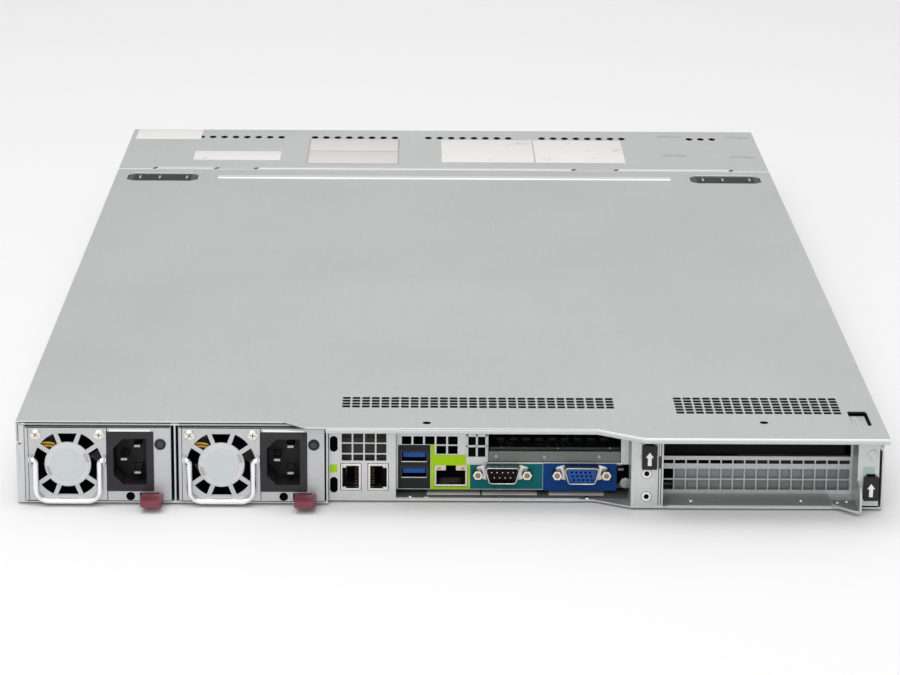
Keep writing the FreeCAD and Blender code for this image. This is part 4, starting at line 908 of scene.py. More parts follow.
@dataclass
class CoverSkin:
    """The lid, the fixed front panel, their labels, embosses and release buttons."""

    sheet: float = 1.2
    label_rise: float = 0.12
    label_edge: float = 0.04
    labels: tuple[Patch, ...] = (
        ((169.5, 215.0), (-367.5, -335.5)), ((111.5, 170.5), (-296.5, -268.5)),
        ((-61.5, 1.5), (-336.5, -264.5)), ((-123.5, -62.5), (-336.5, -264.5)))
    framed_label: Patch = ((30.5, 93.5), (-338.5, -257.5))
    frame_side: float = 1.2
    frame_end: float = 1.5
    frame_bar: float = 0.8
    embosses: tuple[Flat, ...] = ((-159.0, -350.5), (-206.5, -348.5), (-158.5, -288.5), (-204.5, -284.5))
    emboss: Profile = ((9.0, 0.0), (7.92, 0.4), (6.84, 0.4), (5.76, 0.05), (0.0, 0.05))
    emboss_squash: float = 0.5
    # The dimples are painted black as shade.
    dimples: tuple[Flat, ...] = ((11.8, 344.0), (-158.2, 341.0))
    dimple: Profile = ((2.2, 0.0), (2.0, 0.12), (1.4, 0.06), (0.0, 0.03))
    seam_marks: tuple[float, ...] = (193.9, 152.6, 126.3, -87.3, -115.8, -193.3)
    notch: tuple[Flat, ...] = ((-1.6, -5.0), (0.6, -5.0), (1.8, 0.0), (-0.4, 0.0))
    notch_rise: float = 0.1
    # Black sheets of painted shade below the vents.
    vent_shade_patches: tuple[Patch, ...] = (((-85.0, 56.0), (296.5, 318.0)), ((-200.5, -109.5), (295.0, 326.5)))
    vent_shade_height: Flat = (40.9, 41.2)
    tongue: Patch = ((-211.0, -199.0), (323.5, 349.0))
    tongue_height: Flat = (40.4, 41.4)
    ridge: Bit = Bit((-19.0, 19.0), (-0.5, 0.5), (0.0, 0.3), 0.15)
    ridge_places: tuple[float, ...] = (-6.4, -3.2, 0.0, 3.2, 6.4)
    tick: Bit = Bit((-0.6, 0.6), (-4.0, 4.0), (0.25, 0.4), 0.05)
    tick_places: tuple[float, ...] = (-16.0, 2.0, 15.0)

    def build(self) -> None:
        """Dresses the sheet and adds everything that lies on it."""
        dress_each(("top_cover", COVER, 0.5), ("front_top_panel", PANEL, 0.3))
        self.top = node_box("chassis_tray").high.z + self.sheet
        self._labels()
        self._embosses()
        self._seam()
        self._under()
        for side in ("left", "right"):
            self._release(side)

    def _labels(self) -> None:
        """Lays the bare labels on the front panel."""
        top, rise = self.top, self.label_rise
        labels = Stock()
        for xs, ys in self.labels:
            labels.block(xs, ys, span(top, rise), self.label_edge)
        labels.piece("front_panel_labels", WHITE_PAPER)
        (x0, x1), (y0, y1) = self.framed_label
        slab("framed_label_back", GREY_PRINT_AND_SHADE, (x0, x1), (y0, y1), span(top, rise), self.label_edge)
        middle, end, bar = (y0 + y1) / 2, self.frame_end, self.frame_bar
        fields = Stock()
        xs = (x0 + self.frame_side, x1 - self.frame_side)
        for ys in ((y0 + end, middle - bar), (middle + bar, y1 - end)):
            fields.block(xs, ys, (top + rise, top + 1.5 * rise), 0.02)
        fields.piece("framed_label_fields", GREY_PAPER)

    def _embosses(self) -> None:
        """Raises shallow oval rings in the front panel in a darker copy of its steel as painted shade, and
        paints two dimples in the lid black as painted shade.
        """
        rings = Stock()
        for x, y in self.embosses:
            rings.turned((x, y, self.top), Axis.Z, self.emboss, 32, self.emboss_squash)
        rings.piece("front_panel_embosses", SHADED_EMBOSS)
        dimples = [(x, y, self.top) for x, y in self.dimples]
        turnings("lid_dimple_shades", PAINTED_SHADE, self.dimple, 20, dimples, Axis.Z, "cover")

    def _seam(self) -> None:
        """Paints the slanted notches at the ends of the raised hems along the seam dark, as painted shade."""
        seam = node_box("front_top_panel").high.y
        notches = Stock()
        for x in self.seam_marks:
            notches.prism([(x + p, seam + q) for p, q in self.notch], Axis.Z, span(self.top, self.notch_rise))
        notches.piece("seam_notch_shades", RELEASE_DARK_AND_NOTCH_SHADE)

    def _under(self) -> None:
        """Black sheets below the vents as painted shade, and the sunken tongue of the corner window."""
        sheets = Stock()
        for xs, ys in self.vent_shade_patches:
            sheets.block(xs, ys, self.vent_shade_height)
        sheets.piece("vent_shade_sheets", PAINTED_SHADE, "cover")
        slab("window_tongue", COVER, *self.tongue, self.tongue_height, 0.2, "cover")

    def _release(self, side: str) -> None:
        """Dresses a release button and adds its finger ridges and tick marks.

        Args:
            side: left or right.
        """
        node, body = f"cover_release_{side}", f"release_{side}"
        dress(node, RELEASE_DARK_AND_NOTCH_SHADE, 0.4)
        box = node_box(node)
        x, y, top = box.mid.x, box.mid.y, box.high.z
        ridges = [(x, y + reach, top) for reach in self.ridge_places]
        row(f"release_ridges_{side}", RELEASE_DARK_AND_NOTCH_SHADE, self.ridge, ridges, body)
        ticks = [(x + reach, y, top) for reach in self.tick_places]
        row(f"release_ticks_{side}", TICK_GREY, self.tick, ticks, body)


@dataclass
class PowerSupply:
    """One power supply: case, fan guard, inlet, bail handle and latch."""

    index: int
    inlet_lip: float = 0.8
    guard_half: float = 19.6
    guard_margin: float = 0.6
    guard_lift: float = 0.02
    guard_thickness: float = 0.5
    guard_rim: float = 0.55
    guard_roll: float = 0.12
    guard_reach: float = 17.4
    guard_height: float = 16.3
    spoke_half: float = 1.15
    spoke_angles: tuple[float, ...] = (20.0, 56.0, 125.0, 158.0, 202.0, 235.0, 304.0, 340.0)
    arc_steps: int = 8
    gap_width: float = 0.35
    gap_rise: float = 0.03
    gap_inset: float = 0.2
    top_inset: float = 0.3
    top_line: float = 0.5
    roof_line: Flat = (-1.4, -0.1)
    roof_rise: float = 0.04
    cage_line: Flat = (-0.1, 0.15)
    cage_rise: float = 0.06
    cage_depth: Flat = (-3.0, -2.4)
    cage_left: Flat = (-0.6, -0.05)
    cage_right: Flat = (0.05, 0.9)
    hub_radius: float = 11.7
    hub_ring: Profile = ((11.3, 0.0), (11.1, 0.18), (8.7, 0.2), (0.0, 0.2))
    hub_disc: Profile = ((8.7, 0.15), (8.5, 0.34), (0.0, 0.36))
    patch_radii: Flat = (10.9, 9.2)
    patch_angles: Patch = ((-34.0, -6.0), (146.0, 174.0))
    patch_height: Flat = (0.19, 0.26)
    screw_place: Flat = (15.9, 15.6)
    screw_head: Profile = ((2.6, 0.0), (2.6, 0.55), (2.08, 0.935), (1.04, 1.1), (0.0, 1.1))
    cross_half: Flat = (1.612, 0.35464)
    cross_depth: Flat = (-0.2, 0.03)
    cross_turns: Flat = (5.0, 35.0)
    wire_radius: float = 1.45
    wire_bend: float = 1.7
    wire_corner: float = 6.2
    ear_reach: float = 1.6
    blade: Bit = Bit((-2.05, 2.05), (-18.8, -4.45), (-1.05, 1.05), 0.7)
    blade_places: tuple[Flat, ...] = ((3.4, 0.0), (-3.4, 7.0), (-3.4, -7.0))
    strip_end: float = 1.5
    strip_depth: float = 0.7
    strip_height: Flat = (0.3, 1.3)
    lamp_place: Flat = (-31.4, 10.5)
    lamp: Profile = ((2.4, -1.9), (2.4, 0.1), (1.68, 0.7), (0.0, 0.9))
    collar: Profile = ((2.0, 0.0), (2.0, 0.75), (2.6, 0.75), (2.9, 0.3), (2.9, 0.0))
    key_height: float = 2.6
    key_hole: Profile = ((2.05, -1.2), (2.05, 0.06), (1.9, 0.06), (1.7, -1.0), (0.0, -1.0))
    rib_end: float = 1.4
    rib_half: float = 0.5
    rib_rise: float = 0.4
    rib_places: tuple[float, ...] = (-2.6, -4.8, -7.0)
    # Tube of painted shade behind the guard.
    duct: Profile = ((17.8, -0.95), (17.8, -26.0), (18.3, -26.0), (18.3, -0.95), (17.8, -0.95))
    lead_radius: float = 0.55
    lead_start: float = 14.4
    lead_pitch: float = 0.6
    lead_count: int = 14
    lead_crown: int = 6
    lead_sag: float = 0.015
    lead_depth: float = 2.0
    lead_heights: Flat = (9.0, 10.6)

    def build(self) -> None:
        """Builds the pieces of this power supply."""
        k = self.index
        self.body = f"psu_{k}"
        self.fan = joint_place(f"psu_fan_{k}_spin")
        self.inlet = node_box(f"power_inlet_{k}")
        self.case = node_box(f"psu_housing_{k}")
        self.face = self.inlet.high.y - self.inlet_lip
        self.tall = self.case.high.z - self.fan.z - self.guard_margin
        dress_each((f"psu_housing_{k}", PSU_STEEL, 0.2), (f"power_inlet_{k}", INLET_BLACK, 0.3),
                   (f"psu_fan_rotor_{k}", ROTOR_BLACK_AND_SHADE, 0.3), (f"psu_latch_{k}", MAROON, 0.5))
        self._guard()
        self._gap()
        self._cage_gap()
        self._hub()
        self._screws()
        self._handle()
        self._inlet()
        self._lamp()
        self._latch()
        self._behind()

    def _spot(self, flat: Flat, y: float) -> Point:
        """Point on the guard, counted from the fan's axis."""
        return self.fan.x + flat[0], y, self.fan.z + flat[1]

    def _guard(self) -> None:
        """Stamped guard plate: rounded sectors between eight spokes, each with a rolled rim."""
        guard = Stock()
        back = self.face + self.guard_lift
        front = back + self.guard_thickness
        bend = front - self.guard_roll
        for mouth, rim in zip(self._sectors(0.0), self._sectors(self.guard_rim)):
            for a, b, c, d in zip(mouth, mouth[1:] + mouth[:1], rim[1:] + rim[:1], rim):
                for strip in (((a, back), (b, back), (b, bend), (a, bend)),
                              ((a, bend), (b, bend), (c, front), (d, front))):
                    guard.face([self._spot(p, y) for p, y in strip])
        self._plate(guard, front)
        bmesh.ops.remove_doubles(guard.mesh, verts=guard.mesh.verts, dist=0.001)
        bmesh.ops.recalc_face_normals(guard.mesh, faces=guard.mesh.faces)
        guard.piece(f"fan_guard_{self.index}", GUARD_STEEL, self.body)

    def _sectors(self, grow: float) -> list[list[Flat]]:
        """Outlines of the openings between the spokes, each set outwards by a distance."""
        ends = [*self.spoke_angles[1:], self.spoke_angles[0] + 360.0]
        return [self._sector(start, end, grow) for start, end in zip(self.spoke_angles, ends)]

    def _sector(self, start: float, end: float, grow: float) -> list[Flat]:
        """Outline of the opening between two spokes.

        Args:
            start: angle of the first spoke, from straight up, clockwise.
            end: angle of the second spoke.
            grow: how far the outline is set outwards.

        Returns:
            Points round the opening.
        """
        half = self.spoke_half - grow
        inner = self.hub_radius - grow
        outer = self.guard_reach + grow
        lift = math.degrees(math.asin(half / inner))
        drop = math.degrees(math.asin(half / outer))
        limit = self.guard_height + grow
        points = []
        for radius, first, last in ((inner, start + lift, end - lift), (outer, end - drop, start + drop)):
            for step in range(self.arc_steps + 1):
                turn = math.radians(first + (last - first) * step / self.arc_steps)
                points.append((radius * math.sin(turn), max(-limit, min(limit, radius * math.cos(turn)))))
        return points

    def _plate(self, guard: Stock, front: float) -> None:
        """Adds the guard's front skin, filled between its square edge and the sectors, and its side walls.

        Args:
            guard: where it goes.
            front: place of the skin along Y.
        """
        half, tall = self.guard_half, self.tall
        square = [(-half, -tall), (half, -tall), (half, tall), (-half, tall)]
        sheet = bmesh.new()
        edges = []
        for loop in (square, *self._sectors(self.guard_rim)):
            corners = [sheet.verts.new(self._spot(p, front)) for p in loop]
            edges += [sheet.edges.new(pair) for pair in zip(corners, corners[1:] + corners[:1])]
        bmesh.ops.triangle_fill(sheet, use_beauty=True, use_dissolve=False, edges=edges)
        for face in sheet.faces:
            guard.face([v.co for v in face.verts])
        sheet.free()
        for a, b in zip(square, square[1:] + square[:1]):
            wall = ((a, front), (b, front), (b, self.face), (a, self.face))
            guard.face([self._spot(p, y) for p, y in wall])

    def _gap(self) -> None:
        """Black lines of painted shade in the gaps round the guard plate and along the edges of the case."""
        x, z, half, tall, line = self.fan.x, self.fan.z, self.guard_half, self.tall, self.gap_width
        skin = span(self.face, self.gap_rise)
        inside = self.case.xs(self.gap_inset)
        lines = Stock()
        for side in (-1, 1):
            lines.block((x + side * half, x + side * (half + line)), skin, about(z, tall))
        lines.block(about(x, half), skin, (z - tall - line, z - tall))
        lines.block(self.case.xs(self.top_inset), skin, span(z + tall, self.top_line))
        lines.block(inside, skin, span(self.case.low.z, line))
        lines.block(inside, moved(self.roof_line, self.face), span(self.case.high.z, self.roof_rise))
        lines.piece(f"guard_gap_{self.index}", PAINTED_SHADE, self.body)

    def _cage_gap(self) -> None:
        """Black lines of painted shade in the gaps between the case and the cage that holds it."""
        case = self.case
        cage = node_box("psu_cage").high
        lines = Stock().block(case.xs(), span(cage.y, self.cage_rise), moved(self.cage_line, cage.z))
        for edge, reach in ((case.low.x, self.cage_left), (case.high.x, self.cage_right)):
            lines.block(moved(reach, edge), moved(self.cage_depth, cage.y), case.zs())
        lines.piece(f"cage_gap_{self.index}", PAINTED_SHADE)

    def _hub(self) -> None:
        """Motor cap behind the guard's middle: a pale disc in a grey ring with two dark patches."""
        x, y, z = spot = self._spot((0.0, 0.0), self.face + self.guard_thickness)
        turnings(f"guard_hub_ring_{self.index}", HUB_RING, self.hub_ring, 48, [spot], body=self.body)
        turnings(f"guard_hub_disc_{self.index}", HUB_DISC, self.hub_disc, 48, [spot], body=self.body)
        patches = Stock()
        for start, end in self.patch_angles:
            outer, inner = (arc((x, z), radius, start, end, self.arc_steps) for radius in self.patch_radii)
            patches.prism(outer + inner[::-1], Axis.Y, moved(self.patch_height, y))
        patches.piece(f"guard_hub_patches_{self.index}", GREY_PRINT_AND_SHADE, self.body)

    def _screws(self) -> None:
        """Two cream screws at the guard's upper corners, each with a grey cross on it as painted shade in its
        recess.
        """
        reach, height = self.screw_place
        spots = [self._spot((side * reach, height), self.face + self.guard_thickness) for side in (-1, 1)]
        turnings(f"guard_screws_{self.index}", SCREW_CREAM, self.screw_head, 24, spots, body=self.body)
        # A grey cross on each screw, standing for the shade in its recess.
        crosses = Stock()
        for (x, y, z), turn in zip(spots, self.cross_turns):
            ends = moved(self.cross_depth, y + self.screw_head[-1][1])
            for quarter in (0.0, 90.0):
                crosses.prism([(x + p, z + q) for p, q in self._bar(turn + quarter)], Axis.Y, ends)
        crosses.piece(f"guard_screw_cross_shades_{self.index}", GREY_PRINT_AND_SHADE, self.body)

    def _bar(self, turn: float) -> list[Flat]:
        """Corners of one bar of a screw's cross recess.

        Args:
            turn: the angle in degrees.

        Returns:
            The four corners.
        """
        length, width = self.cross_half
        along, across = math.cos(math.radians(turn)), math.sin(math.radians(turn))
        corners = [(length, width), (-length, width), (-length, -width), (length, -width)]
        return [(p * along - q * across, p * across + q * along) for p, q in corners]

    def _handle(self) -> None:
        """Bright round wire bail in place of the CAD's faceted one."""
        node = f"psu_handle_{self.index}"
        box = node_box(node)
        pivot = joint_place(f"handle_{self.index}_swing").z
        foot = box.low.z + self.wire_radius
        tip = box.high.x - box.mid.x
        bend, corner = self.wire_bend, self.wire_corner
        leg = tip - bend - self.ear_reach
        half = [(tip, pivot), *arc((leg + bend, pivot - bend), bend, 90.0, 180.0, 5),
                *arc((leg - corner, foot + corner), corner, 0.0, -90.0, 8)]
        path = [Vector((box.mid.x + p, box.mid.y, q)) for p, q in mirrored(half)]
        piece = Stock().tube(path, self.wire_radius).piece(f"bail_handle_{self.index}", CHROME,
                                                           f"handle_{self.index}")
        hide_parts(node)

    def _inlet(self) -> None:
        """Silver sleeves on the blades and a pale strip over the inlet."""
        high, mid = self.inlet.high, self.inlet.mid
        blades = [(mid.x + dx, high.y, mid.z + dz) for dx, dz in self.blade_places]
        row(f"inlet_blades_{self.index}", BLADE, self.blade, blades, self.body)
        slab(f"inlet_strip_{self.index}", WHITE_PRINT_AND_HIGHLIGHT, self.inlet.xs(self.strip_end),
             span(self.face, self.strip_depth), moved(self.strip_height, high.z), 0.2, self.body)

    def _lamp(self) -> None:
        """Lamp lens in its black collar and black painted shade in the key hole."""
        spot = (self.case.mid.x + self.lamp_place[0], self.face, self.fan.z + self.lamp_place[1])
        turnings(f"lamp_lens_{self.index}", LENS_DARK, self.lamp, 24, [spot], body=self.body)
        turnings(f"lamp_collar_{self.index}", BLACK, self.collar, 28, [spot], body=self.body)
        spot = (self.inlet.mid.x, self.face, self.case.low.z + self.key_height)
        turnings(f"key_hole_shade_{self.index}", PAINTED_SHADE, self.key_hole, 24, [spot], body=self.body)

    def _latch(self) -> None:
        """Finger ribs on the release tab."""
        box = node_box(f"psu_latch_{self.index}")
        ribs = Stock()
        for reach in self.rib_places:
            ribs.block(box.xs(self.rib_end), about(box.high.y + reach, self.rib_half),
                       span(box.high.z, self.rib_rise), 0.15)
        ribs.piece(f"latch_ribs_{self.index}", MAROON, f"latch_{self.index}")

    def _behind(self) -> None:
        """Black tube behind the guard as painted shade, and the two leads seen behind the guard."""
        x, y, z = spot = self._spot((0.0, 0.0), self.face)
        turnings(f"fan_duct_shade_{self.index}", ROTOR_BLACK_AND_SHADE, self.duct, 48, [spot], body=self.body)
        leads = Stock()
        for height in self.lead_heights:
            path = []
            for step in range(self.lead_count):
                sag = self.lead_sag * (step - self.lead_crown) ** 2
                across = x + self.lead_start - self.lead_pitch * step
                path.append(Vector((across, y - self.lead_depth, z + height - sag)))
            leads.tube(path, self.lead_radius, 8)
        leads.piece(f"fan_wires_{self.index}", WIRE_YELLOW, self.body)


@dataclass(frozen=True)
class DPort:
    """A D-shaped port on the shield; spans across count from its middle, depths from the shield's face."""

    name: str
    reach: float
    label: Patch
    label_finish: Finish
    insert: Profile
    depth: Flat
    edge: float
    finish: Finish


@dataclass
class RearPanel:
    """Network bracket, connectors, their coloured labels and the card slot."""

    label_rise: float = 0.15
    jack_places: tuple[tuple[float, int], ...] = ((11.2, 1), (25.0, -1))
    jack_contact: Bit = Bit((-4.0, -1.8), (-11.5, -6.0), (-0.22, 0.22), 0.1)
    jack_contact_row: Row = (7.4, 1.3, 8)
    # Black painted shade in each jack's mouth, and a strip of it at one side.
    jack_mouth_shade: Bit = Bit((-3.98, 2.38), (-12.95, -12.4), (6.55, 18.4))
    jack_strip_shade: Bit = Bit((2.2, 4.4), (-1.0, 0.1), (7.4, 17.5), 0.05)
    jack_lamp: Bit = Bit((3.4, 4.9), (0.0, 0.25), (-0.8, 0.8), 0.1)
    jack_lamp_heights: Flat = (6.6, 18.3)
    lime_patch: Bit = Bit((-4.3, -0.6), (0.0, 0.15), (14.9, 19.1), 0.05)
    usb_heights: Flat = (13.0, 21.4)
    usb_margin: float = 0.9
    usb_label: Flat = (4.3, 27.5)
    usb_hole: Flat = (6.7, 2.9)
    usb_tongue: Bit = Bit((-5.7, 5.7), (-11.8, -0.6), (-0.6, 1.95), 0.2)
    # Black painted shade deep in each port's mouth.
    usb_mouth: Bit = Bit((-6.25, 6.25), (-11.9, -11.4), (-2.45, 2.45))
    usb_lip: Bit = Bit((-6.4, 6.4), (0.0, 0.2), (-2.95, -2.5), 0.08)
    lan_reach: float = 27.7
    lan_label: Patch = ((-9.7, 10.3), (3.9, 22.3))
    lan_hole: Patch = ((-8.6, 8.6), (5.1, 16.8))
    lan_stripe: Bit = Bit((8.3, 10.3), (0.0, 0.15), (22.3, 27.6))
    lan_post: Bit = Bit((7.4, 8.4), (0.0, 0.2), (5.5, 16.6), 0.05)
    lan_lug: Bit = Bit((2.6, 7.4), (0.0, 0.2), (14.1, 16.6), 0.05)
    lan_lamp: Bit = Bit((5.1, 6.9), (0.15, 0.35), (14.5, 15.7), 0.1)
    lan_contact: Bit = Bit((-0.22, 0.22), (-11.0, -7.0), (6.6, 7.8), 0.1)
    lan_contact_row: Row = (-4.45, 1.27, 8)
    # Black painted shade in the management jack's mouth.
    lan_mouth_shade: Bit = Bit((-7.3, 7.3), (-12.95, -12.4), (6.55, 13.95))
    dsub_height: float = 12.8
    dsub_reach: float = 5.4
    serial: DPort = DPort("serial", 53.9, ((-20.5, 16.4), (4.3, 17.7)), TEAL_LABEL, ((6.0, -3.7), (7.6, 3.7)),
                          (-0.5, 0.6), 0.0, BROWN_INSERT)
    screen: DPort = DPort("screen", 94.2, ((-17.9, 19.6), (3.6, 18.0)), BLUE_LABEL, ((6.0, -3.5), (7.5, 3.5)),
                          (3.4, 5.1), 0.2, BLUE_INSERT)
    pin: Profile = ((0.5, 0.0), (0.5, 3.6), (0.3, 4.2), (0.0, 4.4))
    pin_rows: tuple[tuple[float, int], ...] = ((1.4, 5), (-1.4, 4))
    pin_pitch: float = 2.74
    hole: Profile = ((0.62, 0.0), (0.55, 0.06), (0.0, 0.03))
    hole_pitch: Flat = (2.3, 2.0)
    hole_stagger: float = 0.55
    nut_place: Flat = (12.5, 4.4)
    nut: Profile = ((2.6, 0.0), (2.45, 0.35), (1.6, 0.35), (1.4, 0.05), (0.0, 0.05))
    bore: Profile = ((1.5, 0.06), (0.7, 0.2), (0.0, 0.1))
    wing: tuple[Flat, ...] = ((8.0, -3.6), (13.6, -2.4), (14.6, 0.6), (12.6, 3.4), (8.6, 4.6))
    wing_depth: Flat = (0.1, 0.5)
    rim_reach: float = 8.4
    rim_foot: float = 7.0
    rim_tall: float = 4.1
    rim_corner: float = 1.6
    rim_wire: float = 0.32
    rivet: Profile = ((1.5, 0.0), (1.3, 0.45), (0.7, 0.75), (0.0, 0.8))
    rivet_shares: tuple[float, ...] = (0.06, 0.425, 0.84)
    rivet_drop: float = 3.1
    edge_depth: float = 0.25
    edge_height: Flat = (18.1, 18.6)
    card_end: float = 0.6
    card_depth: Flat = (-78.0, -1.2)
    card_height: Flat = (0.2, 1.8)
    chip_row: Row = (6.0, 6.6, 9)
    chip_place: float = -12.0
    chip_width: float = 4.0
    chip_height: Flat = (1.8, 3.4)
    bracket_xs: Flat = (0.6, 11.4)
    bracket_depth: Flat = (0.2, 0.8)
    bracket_bars: tuple[Flat, ...] = ((17.3, 21.5), (26.6, 27.7), (32.2, 33.6))
    bracket_post: float = 1.1
    bracket_shade: Bit = Bit((0.9, 11.1), (0.02, 0.18), (21.6, 33.4), 0.02)
    end_shade: Bit = Bit((0.0, 6.9), (-8.0, -7.4), (2.6, 17.4))
    end_tab: Profile = ((2.9, 0.0), (2.9, 0.7), (2.5, 0.9), (0.0, 0.9))
    end_tab_place: Point = (1.6, 0.6, 8.0)
    end_bits: tuple[Bit, ...] = (
        Bit((1.2, 4.6), (-7.4, -5.0), (4.6, 5.9), 0.2), Bit((2.2, 5.2), (-7.4, -5.0), (12.6, 13.9), 0.2),
        Bit((3.2, 5.8), (-7.4, -5.0), (15.2, 16.5), 0.2))
    # Grey and black sheets of painted shade behind the vents.
    hood_xs: Flat = (1.4, -5.6)
    hood_depths: tuple[Flat, ...] = ((-7.0, -6.4), (-7.6, -7.0), (-8.2, -7.6))
    hood_heights: tuple[Flat, ...] = ((20.0, 28.0), (23.4, 31.4), (28.8, 36.8))
    hood_bar: Bit = Bit((0.0, 0.9), (-7.6, -6.6), (29.0, 36.0), 0.1)
    hood_row: Row = (5.0, 2.4, 5)
    vent_shade_xs: Flat = (-5.4, -0.4)
    vent_shade_depth: Flat = (-5.0, -4.4)
    vent_shade_foot: float = 1.6
    vent_shade_drop: float = 1.0
    vent_shade_plates: tuple[Bit, ...] = (Bit((-32.0, -0.4), (-6.0, -5.4), (26.6, 38.0)),
                                     Bit((-32.0, -17.6), (-6.0, -5.4), (19.6, 26.6)))

    def build(self) -> None:
        """Dresses the rear panel from the power supplies to the card slot."""
        # The sill and the port shells take darker copies of their metal as painted shade.
        dress_each(("lan_bracket", FRAME_STEEL, 0.2), ("io_shield", TRAY, 0.0), ("riser_bracket", SILL_SHADED, 0.3),
                   ("network_jacks", TIN, 0.15), ("usb_ports", SHADED_TIN, 0.15),
                   ("dsub_ports", SHADED_TIN, 0.25))
        self.shield = node_box("io_shield")
        self.face = self.shield.high.y
        self.skin = span(self.face, self.label_rise)
        self._network()
        self._usb()
        self._management()
        self._insert(self.serial)
        self._pins()
        self._shell(self.serial)
        self._insert(self.screen)
        self._holes()
        self._shell(self.screen)
        self._slot()
        self._bracket()
        self._far_end()
        self._shades()

    def _label(self, name: str, finish: Finish, patch: Patch, across: Flat, holes: Sequence[Flat]) -> None:
        """Lays a label on the shield, in strips round a column of square holes.

        Args:
            name: name of the piece.
            finish: its surface.
            patch: its spans along X and Z.
            across: span of the holes along X.
            holes: span of each hole along Z, from the lowest up.
        """
        xs, zs = patch
        label = Stock().block((xs[0], across[0]), self.skin, zs)
        ends = [zs[0], *(z for hole in holes for z in hole), zs[1]]
        for run in zip(ends[::2], ends[1::2]):
            label.block(across, self.skin, run)
        label.block((across[1], xs[1]), self.skin, zs).piece(name, finish)

    def _network(self) -> None:
        """Contacts in gold darkened as painted shade, lamps, and black painted shade in the mouths of the two
        upright jacks, and the lime patch beside them.
        """
        edge = node_box("lan_bracket").high
        jack_shade_stock, contacts, lamps = Stock(), Stock(), Stock()
        for reach, side in self.jack_places:
            x = edge.x - reach
            for z in steps(*self.jack_contact_row):
                contacts.bit(self.jack_contact, (x, edge.y, z), side)
            for z in self.jack_lamp_heights:
                lamps.bit(self.jack_lamp, (x, edge.y, z), side)
            for shade_bit in (self.jack_mouth_shade, self.jack_strip_shade):
                jack_shade_stock.bit(shade_bit, (x, edge.y, 0.0), side)
        jack_shade_stock.piece("jack_shades", PAINTED_SHADE)
        contacts.piece("jack_contacts", SHADED_GOLD)
        lamps.piece("jack_lamps", CREAM_FACE)
        row("lime_patch", LIME_LABEL, self.lime_patch, [(edge.x, edge.y, 0.0)])

    def _usb(self) -> None:
        """Black label, blue tongues and steel mouths of the stacked ports, with black painted shade deep in
        the mouths.
        """
        box = node_box("usb_ports")
        across, tall = self.usb_hole
        self._label("usb_label", BLACK_LABEL,
                    ((box.low.x - self.usb_margin, box.high.x + self.usb_margin), self.usb_label),
                    about(box.mid.x, across), [about(z, tall) for z in self.usb_heights])
        spots = [(box.mid.x, box.high.y, z) for z in self.usb_heights]
        row("usb_tongues", BLUE_TONGUE, self.usb_tongue, spots)
        row("usb_mouth_shades", PAINTED_SHADE, self.usb_mouth, spots)
        row("usb_lips", SHELL_TIN, self.usb_lip, spots)

    def _management(self) -> None:
        """Lime label round the management jack, its pale face, contacts in gold darkened as painted shade,
        lamps, and black painted shade in its mouth.
        """
        x = self.shield.high.x - self.lan_reach
        spot = (x, self.face, 0.0)
        across, zs = self.lan_label
        mouth, hole = self.lan_hole
        self._label("management_label", LIME_LABEL, (moved(across, x), zs), moved(mouth, x), [hole])
        row("management_label_stripe", LIME_LABEL, self.lan_stripe, [spot])
        face, lamps = Stock(), Stock()
        for side in (-1, 1):
            face.bit(self.lan_post, spot, side).bit(self.lan_lug, spot, side)
            lamps.bit(self.lan_lamp, spot, side)
        face.piece("management_face", CREAM_FACE)
        lamps.piece("management_lamps", LENS_AMBER)
        contacts = [(x + reach, self.face, 0.0) for reach in steps(*self.lan_contact_row)]
        row("management_contacts", SHADED_GOLD, self.lan_contact, contacts)
        row("management_mouth_shade", PAINTED_SHADE, self.lan_mouth_shade, [spot])

    def _middle(self, port: DPort) -> Flat:
        """Middle of a D port along X and Z."""
        return self.shield.high.x - port.reach, self.dsub_height

    def _insert(self, port: DPort) -> None:
        """Label and insert of a D port.

        Args:
            port: the port.
        """
        x, z = self._middle(port)
        across, zs = port.label
        slab(f"{port.name}_label", port.label_finish, moved(across, x), self.skin, zs)
        outline = [(x + p, z + q) for p, q in mirrored(port.insert)]
        insert = Stock().prism(outline, Axis.Y, moved(port.depth, self.face), port.edge)
        insert.piece(f"{port.name}_insert", port.finish)

    def _shell(self, port: DPort) -> None:
        """Jack screws, flange and rim of a D port.

        Args:
            port: the port.
        """
        x, z = self._middle(port)
        nuts = [(x + side * self.nut_place[0], self.face + self.nut_place[1], z) for side in (-1, 1)]
        turnings(f"{port.name}_screw_rings", SCREW_CREAM, self.nut, 6, nuts)
        turnings(f"{port.name}_screw_bores", BORE, self.bore, 16, nuts)
        wings = Stock()
        for side in (-1, 1):
            outline = [(x + side * p, z + q) for p, q in self.wing]
            wings.prism(outline, Axis.Y, moved(self.wing_depth, self.face), 0.1)
        wings.piece(f"{port.name}_flange_wings", TIN)
        path = [Vector((x + p, self.face + self.dsub_reach, z + q)) for p, q in self._rim()]
        Stock().tube(path, self.rim_wire, 10).piece(f"{port.name}_shell_rim", SHELL_TIN)

    def _rim(self) -> list[Flat]:
        """Rounded line of the bright rim at the mouth of a D shell.

        Returns:
            Points along the line.
        """
        reach, foot, tall, corner = self.rim_reach, self.rim_foot, self.rim_tall, self.rim_corner
        lean = math.degrees(math.atan2(reach - foot, 2 * tall))
        return mirrored([(0.0, -tall), *arc((foot - corner, corner - tall), corner, -90.0, -lean, 6),
                         *arc((reach - corner, tall - corner), corner, -lean, 90.0, 8)])

    def _pins(self) -> None:
        """Pins of the serial port."""
        x, z = self._middle(self.serial)
        pins = [(x + self.pin_pitch * (step - (count - 1) / 2), self.face, z + height)
                for height, count in self.pin_rows for step in range(count)]
        turnings("serial_pins", TIN, self.pin, 10, pins)

